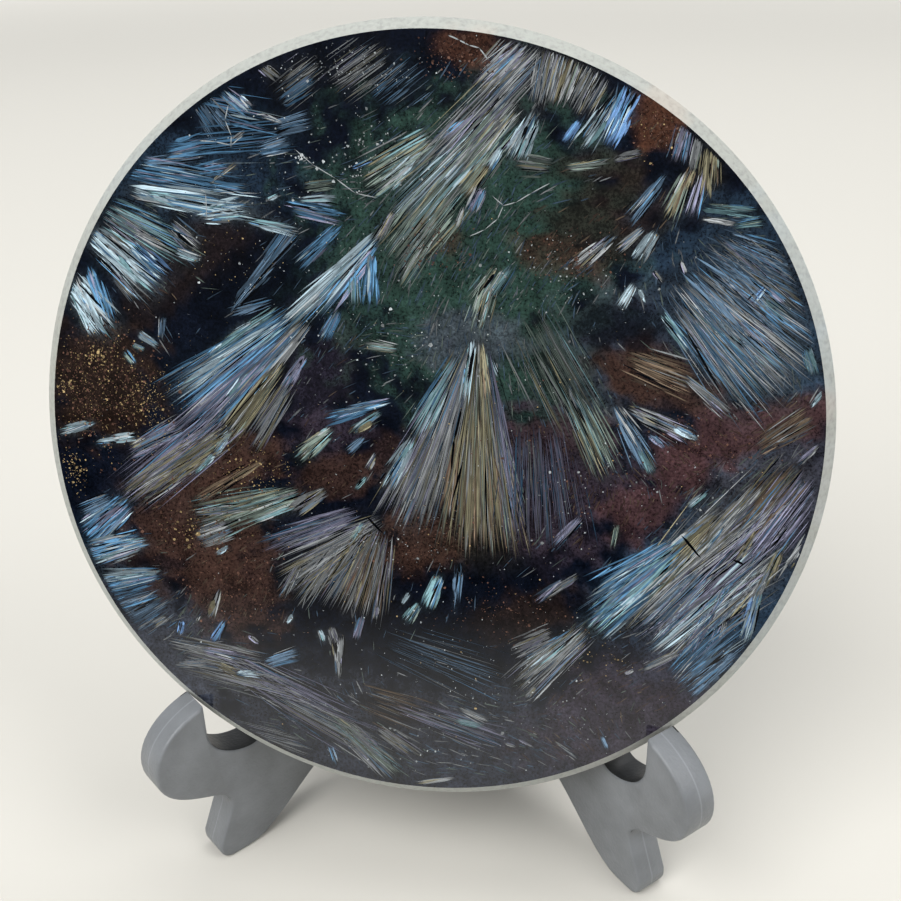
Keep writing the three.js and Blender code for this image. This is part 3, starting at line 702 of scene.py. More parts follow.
def linear(code):
    """Linear colour of an sRGB hex code."""
    shades = [int(code[place:place + 2], 16) / 255 for place in (1, 3, 5)]
    return [shade / 12.92 if shade <= 0.04045 else ((shade + 0.055) / 1.055) ** 2.4 for shade in shades]


def colour_property(label, description, code):
    return bpy.props.FloatVectorProperty(
        name=label, description=description, default=linear(code), size=3, min=0, max=1, subtype="COLOR"
    )


def length_property(label, description, millimetres):
    return bpy.props.FloatProperty(
        name=label, description=description, default=millimetres * MM, precision=5, unit="LENGTH"
    )


class SliceSizes(bpy.types.PropertyGroup):
    """Sizes of the stone, of the grains in it, of the easel's finish and of the stage."""

    radius: length_property("Radius", "Outer radius of the slice", 50)
    thickness: length_property("Thickness", "Thickness of the slice", 8)
    bevel_width: length_property("Bevel width", "Width of the ground edge across the face", 1.4)
    bevel_depth: length_property("Bevel depth", "Depth of the ground edge", 1.3)
    ring_step: length_property("Ring step", "Distance between the rings of points on the face", 0.6)
    blade_lift: length_property("Blade lift", "Height of the tallest needle above the face", 0.03)
    keel_depth: length_property("Keel depth", "Depth that a blade reaches into the stone", 0.05)
    grain: length_property("Grain", "Size of the rock's finest grains", 0.35)
    mottle: length_property("Mottle", "Size of the rock's cloudy patches", 2.4)
    # Real pits and orange peel are finer, and are drawn as coarse as they need to be to show
    grit: length_property("Grit", "Size of the pits in the ground edge", 0.6)
    parting_line: length_property("Parting line", "Width of the line where the mould halves met", 0.16)
    moulding: length_property("Moulding texture", "Size of the plastic's fine orange peel", 0.5)
    floor_width: length_property("Floor width", "Width of the floor", 9000)


class SliceColours(bpy.types.PropertyGroup):
    """Colours of the minerals, the easel and the stage."""

    matrix: colour_property("Matrix", "Blue-black ground of the rock", "#070b15")
    navy: colour_property("Navy", "Darkest ground", "#04070f")
    slate_rock: colour_property("Slate rock", "Blue-grey ground", "#2c3f52")
    # Green-grey ground, which also stands in as painted reflection of the camera in the upper middle
    moss_rock_and_reflection: colour_property("Moss rock", "Green-grey ground", "#273c34")
    # Grey ground, which also serves as painted reflection: the pale haze in the lower face
    ash_and_reflection: colour_property("Ash rock", "Grey ground", "#40444f")
    plum: colour_property("Plum rock", "Purple-brown ground", "#2f2831")
    brown: colour_property("Brown rock", "Dark brown ground", "#201713")
    umber: colour_property("Umber rock", "Middle brown ground", "#33241f")
    wine: colour_property("Wine rock", "Red-brown ground", "#3c2a2c")
    rust: colour_property("Rust rock", "Orange-brown ground", "#3f281e")
    ice: colour_property("Ice blades", "Brightest blue-white blades", "#c6dfec")
    blue: colour_property("Blue blades", "Steel-blue blades", "#6ea4d0")
    azure: colour_property("Azure blades", "Most vivid blue blades", "#7fa9e0")
    silver: colour_property("Silver blades", "Grey-white blades", "#b9bec1")
    lilac: colour_property("Lilac blades", "Grey-violet blades", "#a9a9c6")
    teal: colour_property("Teal blades", "Green-blue blades", "#93bfc8")
    moss: colour_property("Moss blades", "Green-grey blades", "#8b9b92")
    olive: colour_property("Olive blades", "Yellow-grey blades", "#a49e82")
    bronze: colour_property("Bronze blades", "Tan blades", "#94816d")
    slate: colour_property("Slate blades", "Dim blue-grey blades", "#6f8ba6")
    umber_fibre: colour_property("Umber fibres", "Dim brown fibres", "#745d4f")
    frost: colour_property("Frost flecks", "White flecks and healed cracks", "#c4cbce")
    gold: colour_property("Gold flecks", "Yellow-tan grains", "#c3aa7c")
    copper: colour_property("Copper flecks", "Red-brown grains", "#74564a")
    crack: colour_property("Cracks", "Open dark cracks", "#0a0c10")
    rim: colour_property("Ground edge", "Pale ground edge of the slice", "#a3a59e")
    sawn: colour_property("Sawn back", "Dull back of the slice", "#4a4b50")
    plastic: colour_property("Easel plastic", "Dark grey moulded plastic", "#707376")
    steel: colour_property("Pin steel", "Hinge pin", "#b5b8bb")
    floor: colour_property("Floor", "Pale floor", "#c5c2ba")
    flag: colour_property("Flag", "Black flag mirrored by the polish", "#0c0c0e")
    horizon: colour_property("Horizon", "Light behind the object", "#c9ccd0")
    backdrop: colour_property("Backdrop", "Pale backdrop past the floor", "#fffcf4")
    shade: colour_property("Shade", "Dim room in front of the polished face", "#45484e")


def deselect_all():
    if bpy.context.object and bpy.context.object.mode != "OBJECT":
        bpy.ops.object.mode_set(mode="OBJECT")
    bpy.ops.object.select_all(action="DESELECT")


def on_face(across, up, out):
    """Points in the part's frame from places on the polished face, all in metres."""
    places = np.outer(across, FACE_RIGHT) + np.outer(up, FACE_UP) + np.outer(out, FACE_OUT)
    return places + np.array(FACE_CENTRE)


def add_node(tree, kind, inputs=(), **settings):
    """Adds a node; inputs gives each named or numbered socket a value or another node's output."""
    node = tree.nodes.new(kind)
    for name, value in settings.items():
        setattr(node, name, value)
    for socket, value in dict(inputs).items():
        if isinstance(value, bpy.types.NodeSocket):
            tree.links.new(value, node.inputs[socket])
        else:
            node.inputs[socket].default_value = value
    return node


def new_material(name, inputs):
    """A material with one Principled shader and its node tree, ready for links."""
    material = bpy.data.materials.new(name)
    material.use_nodes = True
    tree = material.node_tree
    tree.nodes.clear()
    shader = add_node(tree, "ShaderNodeBsdfPrincipled", inputs)
    add_node(tree, "ShaderNodeOutputMaterial", {"Surface": shader.outputs[0]})
    return material, tree, shader


def opaque(colour, share=1.0):
    return (colour[0] * share, colour[1] * share, colour[2] * share, 1.0)


def set_ramp(node, stops):
    """Gives a colour ramp its stops, each a place and a colour."""
    elements = node.color_ramp.elements
    while len(elements) > 1:
        elements.remove(elements[-1])
    elements[0].position, elements[0].color = stops[0]
    for place, colour in stops[1:]:
        elements.new(place).color = colour


# Rock ground flat, lapped and polished on the face: dark, glassy and cloudy with fine grain; its tint also
# carries the painted reflection that some patches stand for.
# Its bevel and wall were only ground, so they scatter light and look pale; its back is sawn and dull.
def polished_rock(sizes, colours):
    material, tree, shader = new_material("astrophyllite_lapped_and_polished", {"IOR": MINERAL_IOR})
    place = add_node(tree, "ShaderNodeTexCoord").outputs["Object"]
    tint = add_node(tree, "ShaderNodeAttribute", attribute_name="rock_tint").outputs["Color"]
    zone = add_node(tree, "ShaderNodeAttribute", attribute_name="finish_zone").outputs["Fac"]
    grain = add_node(
        tree,
        "ShaderNodeTexNoise",
        {"Vector": place, "Scale": 1 / sizes.grain, "Detail": 3.0, "Roughness": 0.7},
    )
    mottle = add_node(
        tree, "ShaderNodeTexNoise", {"Vector": place, "Scale": 1 / sizes.mottle, "Detail": 4.0}
    )
    shades = []
    for cloud, contrast in ((grain, GRAIN_CONTRAST), (mottle, MOTTLE_CONTRAST)):
        limits = {1: NOISE_LOW, 2: NOISE_HIGH, 3: 1 - contrast, 4: 1 + contrast}
        shades.append(add_node(tree, "ShaderNodeMapRange", {0: cloud.outputs["Fac"], **limits}).outputs[0])
    depth = add_node(tree, "ShaderNodeMath", dict(enumerate(shades)), operation="MULTIPLY")
    face = add_node(tree, "ShaderNodeVectorMath", {0: tint, "Scale": depth.outputs[0]}, operation="SCALE")
    pits = add_node(tree, "ShaderNodeTexNoise", {"Vector": place, "Scale": 1 / sizes.grit, "Detail": 2.0})
    ground = add_node(tree, "ShaderNodeValToRGB", {"Fac": pits.outputs["Fac"]})
    pit_shades = ((0.3, 0.78), (0.5, 0.94), (0.7, 1.0))
    set_ramp(ground, [(height, opaque(colours.rim, shade)) for height, shade in pit_shades])
    sawn = add_node(
        tree,
        "ShaderNodeMix",
        {"Factor": SAWN_SHARE, 6: face.outputs[0], 7: opaque(colours.sawn)},
        data_type="RGBA",
    )
    is_rim = add_node(tree, "ShaderNodeMath", {0: zone, 1: EDGE_ZONE, 2: ZONE_STEP}, operation="COMPARE")
    is_back = add_node(tree, "ShaderNodeMath", {0: zone, 1: BACK_ZONE, 2: ZONE_STEP}, operation="COMPARE")
    stain = add_node(
        tree,
        "ShaderNodeVectorMath",
        {0: tint, 1: (EDGE_STAIN, EDGE_STAIN, EDGE_STAIN), 2: ground.outputs["Color"]},
        operation="MULTIPLY_ADD",
    )
    front = add_node(
        tree,
        "ShaderNodeMix",
        {"Factor": is_rim.outputs[0], 6: face.outputs[0], 7: stain.outputs[0]},
        data_type="RGBA",
    )
    colour = add_node(
        tree,
        "ShaderNodeMix",
        {"Factor": is_back.outputs[0], 6: front.outputs[2], 7: sawn.outputs[2]},
        data_type="RGBA",
    )
    roughness = add_node(
        tree,
        "ShaderNodeMapRange",
        {0: zone, 1: FACE_ZONE, 2: EDGE_ZONE, 3: LAPPED_ROUGHNESS, 4: GROUND_ROUGHNESS},
    )
    tree.links.new(colour.outputs[2], shader.inputs["Base Color"])
    tree.links.new(roughness.outputs[0], shader.inputs["Roughness"])
    unpolished = add_node(tree, "ShaderNodeMath", {0: zone, 1: EDGE_ZONE}, operation="MINIMUM")
    bump = add_node(
        tree,
        "ShaderNodeBump",
        {"Strength": unpolished.outputs[0], "Distance": PIT_DEPTH, "Height": pits.outputs["Fac"]},
    )
    tree.links.new(bump.outputs[0], shader.inputs["Normal"])
    return material


# Blades cut and polished flush with the rock: bright along the middle, sinking into the dark at
# both ends, with fine streaks along their length. U picks the tone, V runs along the blade.
def polished_mineral(family, colours):
    colour = getattr(colours, family)
    finish = {"IOR": MINERAL_IOR, "Roughness": BLADE_ROUGHNESS}
    material, tree, shader = new_material(f"{family}_mineral_polished_flush", finish)
    layout = add_node(tree, "ShaderNodeUVMap", uv_map="OFBake").outputs["UV"]
    parts = add_node(tree, "ShaderNodeSeparateXYZ", {0: layout})
    tone = add_node(tree, "ShaderNodeValToRGB", {"Fac": parts.outputs["X"]})
    dull = [DULL_GROUND * ground + DULL_OWN * own for ground, own in zip(colours.matrix, colour)]
    set_ramp(tone, [(0.0, opaque(dull)), (0.5, opaque(colour, MIDDLE_OWN)), (1.0, opaque(colour))])
    streak_place = add_node(tree, "ShaderNodeVectorMath", {0: layout, 1: STREAK_WAVES}, operation="MULTIPLY")
    streak = add_node(
        tree, "ShaderNodeTexNoise", {"Vector": streak_place.outputs[0], "Scale": 1.0, "Detail": 2.0}
    )
    limits = dict(enumerate((*STREAK_NOISE, *STREAK_SHADES), 1))
    depth = add_node(tree, "ShaderNodeMapRange", {0: streak.outputs["Fac"], **limits})
    streaked = add_node(
        tree,
        "ShaderNodeVectorMath",
        {0: tone.outputs["Color"], "Scale": depth.outputs[0]},
        operation="SCALE",
    )
    fade = add_node(tree, "ShaderNodeValToRGB", {"Fac": parts.outputs["Y"]})
    white = (1.0, 1.0, 1.0, 1.0)
    black = (0.0, 0.0, 0.0, 1.0)
    set_ramp(fade, [(0.0, black), (BRIGHT_FROM, white), (BRIGHT_TO, white), (1.0, black)])
    blended = add_node(
        tree,
        "ShaderNodeMix",
        {"Factor": fade.outputs["Color"], 6: opaque(dull), 7: streaked.outputs[0]},
        data_type="RGBA",
    )
    tree.links.new(blended.outputs[2], shader.inputs["Base Color"])
    return material


# ABS moulded in two mould halves: dark grey, satin, with a faint pale line where the halves met, its
# paleness a painted highlight, cloudy over its flats, and with painted shade, almost black, in the hollows
# below the stone
def moulded_plastic(sizes, colours):
    material, tree, shader = new_material("abs_moulded_satin", {"IOR": PLASTIC_IOR})
    place = add_node(tree, "ShaderNodeTexCoord").outputs["Object"]
    across = add_node(tree, "ShaderNodeAttribute", attribute_name="across_plate").outputs["Fac"]
    cloud = add_node(
        tree,
        "ShaderNodeTexNoise",
        {"Vector": place, "Scale": PLASTIC_CLOUDS / sizes.moulding, "Detail": 4.0},
    )
    base = add_node(tree, "ShaderNodeValToRGB", {"Fac": cloud.outputs["Fac"]})
    cloud_shades = ((0.3, 0.85), (0.7, 1.15))
    set_ramp(base, [(height, opaque(colours.plastic, shade)) for height, shade in cloud_shades])
    off_line = add_node(tree, "ShaderNodeMath", {0: across}, operation="ABSOLUTE")
    core = LINE_CORE * sizes.parting_line
    line = add_node(
        tree,
        "ShaderNodeMapRange",
        {0: off_line.outputs[0], 1: core, 2: sizes.parting_line, 3: LINE_STRENGTH, 4: 0.0},
    )
    # Painted highlight: the mould line is drawn paler, in place of the light that its ridge catches
    colour = add_node(
        tree,
        "ShaderNodeMix",
        {"Factor": line.outputs[0], 6: base.outputs["Color"], 7: opaque(colours.plastic, PAINTED_LINE_HIGHLIGHT)},
        data_type="RGBA",
    )
    # Painted shade: faces in the hollows below the stone are darkened almost to black
    cradle = add_node(tree, "ShaderNodeAttribute", attribute_name="cradle").outputs["Fac"]
    finish = add_node(
        tree,
        "ShaderNodeMix",
        {"Factor": cradle, 6: colour.outputs[2], 7: opaque(colours.plastic, PAINTED_HOLLOW_SHADE)},
        data_type="RGBA",
    )
    peel = add_node(
        tree, "ShaderNodeTexNoise", {"Vector": place, "Scale": 1 / sizes.moulding, "Detail": 2.0}
    )
    limits = dict(enumerate(PLASTIC_ROUGHNESS, 3))
    roughness = add_node(tree, "ShaderNodeMapRange", {0: peel.outputs["Fac"], **limits})
    tree.links.new(finish.outputs[2], shader.inputs["Base Color"])
    tree.links.new(roughness.outputs[0], shader.inputs["Roughness"])
    bump = add_node(tree, "ShaderNodeBump", {"Distance": PEEL_DEPTH, "Height": peel.outputs["Fac"]})
    tree.links.new(bump.outputs[0], shader.inputs["Normal"])
    return material


# Drawn steel wire, cut and headed: grey metal with a soft shine
def drawn_steel(colours):
    material, tree, shader = new_material("steel_drawn_and_headed", {"Metallic": 1.0, "Roughness": 0.32})
    place = add_node(tree, "ShaderNodeTexCoord").outputs["Object"]
    wear = add_node(tree, "ShaderNodeTexNoise", {"Vector": place, "Scale": 1 / MM, "Detail": 3.0})
    colour = add_node(tree, "ShaderNodeValToRGB", {"Fac": wear.outputs["Fac"]})
    wear_shades = ((0.3, 0.75), (0.7, 1.0))
    set_ramp(colour, [(height, opaque(colours.steel, shade)) for height, shade in wear_shades])
    tree.links.new(colour.outputs["Color"], shader.inputs["Base Color"])
    return material


# Matte painted board: pale and even, so the object stands out, and glowing with painted light far away from
# it
def painted_board(colours):
    material, tree, shader = new_material(
        "board_painted_matte",
        {"Base Color": opaque(colours.floor), "Roughness": 0.9, "Emission Color": opaque(colours.backdrop)},
    )
    place = add_node(tree, "ShaderNodeTexCoord").outputs["Object"]
    reach = add_node(tree, "ShaderNodeVectorMath", {0: place}, operation="LENGTH").outputs["Value"]
    glow = add_node(
        tree,
        "ShaderNodeMapRange",
        {0: reach, 1: SWEEP_NEAR, 2: SWEEP_FAR, 4: SWEEP_GLOW},
        interpolation_type="SMOOTHSTEP",
    )
    tree.links.new(glow.outputs[0], shader.inputs["Emission Strength"])
    return material


# Black gauze in thicker and thicker layers away from the object: its mirror image has no hard edge
def black_gauze(colours):
    material, tree, shader = new_material(
        "gauze_dyed_black",
        {"Base Color": opaque(colours.flag), "Roughness": 0.9, "Specular IOR Level": 0.0},
    )
    place = add_node(tree, "ShaderNodeTexCoord").outputs["Object"]
    parts = add_node(tree, "ShaderNodeSeparateXYZ", {0: place})
    cover = add_node(
        tree,
        "ShaderNodeMapRange",
        {0: parts.outputs["Y"], 1: -FLAG_NEAR, 2: -FLAG_FULL},
        interpolation_type="SMOOTHSTEP",
    )
    tree.links.new(cover.outputs[0], shader.inputs["Alpha"])
    return material


def ground_and_reflection_tint(across, up, colours):
    """Colour of the rock at places on the face, in mm, with the painted reflection that some patches stand
    for, and how brown it is there.
    """
    ground = {
        "navy": colours.navy, "slate": colours.slate_rock, "moss": colours.moss_rock_and_reflection, "ash_and_reflection": colours.ash_and_reflection,
        "plum": colours.plum, "brown": colours.brown, "umber": colours.umber, "wine": colours.wine,
        "rust": colours.rust,
    }
    warm = ("brown", "umber", "wine", "rust", "plum")
    tint = np.tile(np.array(colours.matrix), (len(across), 1))
    warmth = np.zeros(len(across))
    waves = [(x * RAGGED_WAVES, y * RAGGED_WAVES, RAGGED_LEVEL) for x, y in zip(across, up)]
    ragged = np.array([noise.fractal(wave, *RAGGED_NOISE) for wave in waves])
    for name, centre_x, centre_y, long, short, turn, strength in ROCK_PATCHES:
        angle = math.radians(turn)
        along = (across - centre_x) * math.cos(angle) + (up - centre_y) * math.sin(angle)
        aside = (up - centre_y) * math.cos(angle) - (across - centre_x) * math.sin(angle)
        reach = np.hypot(along / long, aside / short) + RAGGED_SHARE * ragged
        cover = np.clip((PATCH_END - reach) / PATCH_FADE, 0, 1)
        cover = np.clip(cover * cover * (3 - 2 * cover) * strength, 0, 1)
        tint += cover[:, None] * (np.array(ground[name]) - tint)
        warmth += cover * ((name in warm) - warmth)
    for family, root_x, root_y, tip_x, tip_y, root_span, tip_span, _, _, tone in SPRAYS:
        size = math.hypot(tip_x - root_x, tip_y - root_y)
        run_x = (tip_x - root_x) / size
        run_y = (tip_y - root_y) / size
        step = ((across - root_x) * run_x + (up - root_y) * run_y) / size
        aside = (up - root_y) * run_x - (across - root_x) * run_y
        span = np.maximum(root_span + (tip_span - root_span) * np.clip(step, 0, 1), GLOW_LEAST_SPAN)
        ends = np.clip(GLOW_END - np.abs(step - 0.5) * 2, 0, 1)
        cover = np.exp(-(aside / (GLOW_WIDTH * span)) ** 2) * ends
        glow = np.array(getattr(colours, family)) * GLOW * tone ** 2
        ragged_cover = GLOW_COVER * cover * (1 + GLOW_RAGGED * ragged).clip(*GLOW_LIMITS)
        tint += ragged_cover[:, None] * (glow - tint)
        warmth *= 1 - GLOW_COOLING * cover
    return tint, warmth


def make_piece(name, points, faces, material):
    mesh = bpy.data.meshes.new(name)
    mesh.from_pydata(points, [], faces)
    mesh.materials.append(material)
    piece = bpy.data.objects.new(name, mesh)
    bpy.context.scene.collection.objects.link(piece)
    return piece


def add_layout(mesh, tone, along):
    """UV map of a grain piece: tone across, place along the blade upwards, given for each point."""
    corners = np.empty(len(mesh.loops), int)
    mesh.loops.foreach_get("vertex_index", corners)
    layout = mesh.uv_layers.new(name="OFBake")
    layout.uv.foreach_set("vector", np.stack([tone, along], 1)[corners].ravel())


# One blade: six points round its polished top and a keel of two points inside the stone
BLADE_ALONG = np.array([0.0, 0.22, 0.70, 1.0, 0.66, 0.26, 0.30, 0.70])
BLADE_ASIDE = np.array([0.0, -0.5, -0.42, 0.0, 0.45, 0.5, 0.04, -0.04])
BLADE_TOP = np.array([1, 1, 1, 1, 1, 1, 0, 0])
BLADE_FACES = [
    (0, 1, 2, 3, 4, 5), (1, 0, 6), (2, 1, 6), (2, 6, 7), (3, 2, 7),
    (4, 3, 7), (5, 4, 7), (5, 7, 6), (0, 5, 6),
]

# Points that shift along a blade, by how much of its length, the factors that vary its width,
# its change of tone from side to side, and the limits of tones
BLADE_LOOSE = [1, 2, 4, 5]
BLADE_SHIFT = 0.12
BLADE_WIDTHS = (0.8, 1.2)
TONE_WIDTH = 0.02
TONE_LIMITS = (0.01, 0.99)


def cut_at_edge(blade, limit):
    """The stretch of a blade that lies within the polished face, with the shares of the whole blade
    at which it begins and ends, or None where too little is left."""
    x, y, direction, length, *finish = blade
    run_x = math.cos(direction)
    run_y = math.sin(direction)
    nearest = -(x * run_x + y * run_y)
    half_chord = math.sqrt(max(limit ** 2 - (x * run_y - y * run_x) ** 2, 0))
    begin = max(nearest - half_chord, 0)
    end = min(nearest + half_chord, length)
    if end - begin < SHORTEST_BLADE:
        return None
    start = (x + begin * run_x, y + begin * run_y)
    return (*start, direction, end - begin, *finish, begin / length, end / length)


def blade_arrays(blades, sizes, draw):
    """Points, faces, tones and places along, for blades given as rows of start across, start up,
    direction, length, width (mm and radians), tone, share of the lift, and first and last share."""
    count = len(blades)
    rows = np.array(blades)
    start_x, start_y, direction, length, width, tone, height, first, last = rows.T[:, :, None]
    along = np.tile(BLADE_ALONG, (count, 1))
    along[:, BLADE_LOOSE] += draw.uniform(-BLADE_SHIFT, BLADE_SHIFT, (count, len(BLADE_LOOSE)))
    aside = BLADE_ASIDE * draw.uniform(*BLADE_WIDTHS, along.shape)
    across = start_x + along * length * np.cos(direction) - aside * width * np.sin(direction)
    up = start_y + along * length * np.sin(direction) + aside * width * np.cos(direction)
    out = np.where(BLADE_TOP, height * sizes.blade_lift, -sizes.keel_depth)
    points = on_face(across.ravel() * MM, up.ravel() * MM, out.ravel())
    starts = range(0, along.size, len(BLADE_ALONG))
    faces = [tuple(start + corner for corner in face) for start in starts for face in BLADE_FACES]
    tones = np.clip(tone + aside * TONE_WIDTH, *TONE_LIMITS)
    return points, faces, tones.ravel(), (first + along * (last - first)).ravel()


def spray_blades(spray, draw):
    """Pairs of family and blade: one spray's needles, spread between its root and its tip."""
    family, root_x, root_y, tip_x, tip_y, root_span, tip_span, count, width, tone = spray
    root = np.array([root_x, root_y])
    axis = np.array([tip_x, tip_y]) - root
    size = np.hypot(*axis)
    aside = np.array([-axis[1], axis[0]]) / size
    least, most = LONG_SPRAY_SHARES if size > LONG_SPRAY else SHORT_SPRAY_SHARES
    gaps = GAP_SHARE * tone
    mixture = (1 - 3 * NEIGHBOUR_SHARE - gaps, *[NEIGHBOUR_SHARE] * 3, gaps)
    pairs = []
    for _ in range(round(count * NEEDLES_PER_BLADE)):
        share = draw.uniform(least, most)
        begin = draw.uniform(0, 1 - share)
        place = np.clip(draw.normal(0, NEEDLE_SPREAD), -NEEDLE_REACH, NEEDLE_REACH)
        ends = []
        for step in (begin, begin + share):
            span = root_span + (tip_span - root_span) * step
            ends.append(root + axis * step + aside * (place * span))
        run = ends[1] - ends[0]
        turn = math.atan2(run[1], run[0]) + draw.normal(0, NEEDLE_WANDER)
        brightness = NEEDLE_TONE_BASE + NEEDLE_TONE_RANGE * draw.beta(*NEEDLE_TONE_SHAPE)
        shade = np.clip(tone * brightness, *NEEDLE_TONES)
        thinness = 1.0 if draw.uniform() < WIDE_SHARE else THIN_WIDTH
        breadth = width * thinness * draw.lognormal(0, WIDTH_SPREAD)
        own = draw.choice((family, *NEIGHBOURS[family], "crack"), p=mixture)
        lift = draw.uniform(*NEEDLE_LIFTS)
        pairs.append((own, (*ends[0], turn, np.hypot(*run), breadth, shade, lift)))
    return pairs


def vein_blades(vein):
    """Blades end to end along a crack."""
    _, width, stops = vein
    rows = []
    for (from_x, from_y), (to_x, to_y) in zip(stops, stops[1:]):
        run_x = to_x - from_x
        run_y = to_y - from_y
        length = VEIN_OVERLAP * math.hypot(run_x, run_y)
        rows.append((from_x, from_y, math.atan2(run_y, run_x), length, width, VEIN_TONE, VEIN_LIFT))
    return rows


def fibre_blades(colours, draw):
    """Blades by family: fine fibres that follow the sprays near them."""
    middles = np.array([((s[1] + s[3]) / 2, (s[2] + s[4]) / 2) for s in SPRAYS])
    turns = np.array([math.atan2(s[4] - s[2], s[3] - s[1]) for s in SPRAYS])
    angle = draw.uniform(0, 2 * math.pi, FIBRES)
    radius = FIBRE_FIELD * np.sqrt(draw.uniform(0, 1, FIBRES))
    across = radius * np.cos(angle)
    up = radius * np.sin(angle)
    tint, warmth = ground_and_reflection_tint(across, up, colours)
    paleness = np.clip((tint.mean(1) - FIBRE_DARKEST) / FIBRE_RANGE, FIBRE_LEAST, 1)
    rows = {family: [] for family in ("slate", "silver", "moss", "umber_fibre", "bronze")}
    for x, y, warm, pale in zip(across, up, warmth, paleness):
        if draw.uniform() > pale:
            continue
        nearness = np.exp(-np.sum((middles - (x, y)) ** 2, 1) / FIBRE_REACH ** 2) + 1e-6
        turn = 0.5 * math.atan2(nearness @ np.sin(2 * turns), nearness @ np.cos(2 * turns))
        turn += draw.normal(0, FIBRE_WANDER)
        family = draw.choice(("slate", "slate", "silver", "moss"))
        if warm > draw.uniform(*WARM_LIMITS):
            family = draw.choice(("umber_fibre", "umber_fibre", "bronze"))
        length = draw.uniform(*FIBRE_LENGTHS) * (1 - WARM_SHORTENING * warm)
        shade = FIBRE_TONE_BASE + FIBRE_TONE_RANGE * draw.beta(*FIBRE_TONE_SHAPE)
        width = draw.uniform(*FIBRE_WIDTHS)
        rows[family].append((x, y, turn, length, width, shade, draw.uniform(*FIBRE_LIFTS)))
    return rows


def fleck_arrays(flecks, sizes, draw):
    """Points, faces, tones and places for flecks given as rows of across, up, size (mm) and tone."""
    points = []
    faces = []
    tones = []
    along = []
    for x, y, size, tone in flecks:
        first = len(tones)
        corners = np.arange(FLECK_SIDES) + draw.uniform(0, 1)
        corners = corners + draw.uniform(-FLECK_SHIFT, FLECK_SHIFT, FLECK_SIDES)
        angles = corners * 2 * math.pi / FLECK_SIDES
        reach = size / 2 * draw.uniform(*FLECK_REACHES, FLECK_SIDES)
        lift = sizes.blade_lift * draw.uniform(*FLECK_LIFTS)
        points.extend(zip(x + reach * np.cos(angles), y + reach * np.sin(angles), [lift] * FLECK_SIDES))
        points.append((x, y, -sizes.keel_depth))
        keel = first + FLECK_SIDES
        faces.append(tuple(range(first, keel)))
        faces.extend((first + (k + 1) % FLECK_SIDES, first + k, keel) for k in range(FLECK_SIDES))
        tones.extend(np.clip(tone + FLECK_TONE_WIDTH * np.cos(angles), *TONE_LIMITS))
        tones.append(tone)
        along.extend(FLECK_ALONG + FLECK_ALONG_WIDTH * np.sin(angles))
        along.append(FLECK_ALONG)
    spots = np.array(points)
    return on_face(spots[:, 0] * MM, spots[:, 1] * MM, spots[:, 2]), faces, np.array(tones), np.array(along)


def belongs(piece, slot, *nodes):
    """Puts a finished piece on the part's one body."""
    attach(piece, "root")
    if nodes:
        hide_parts(*nodes)


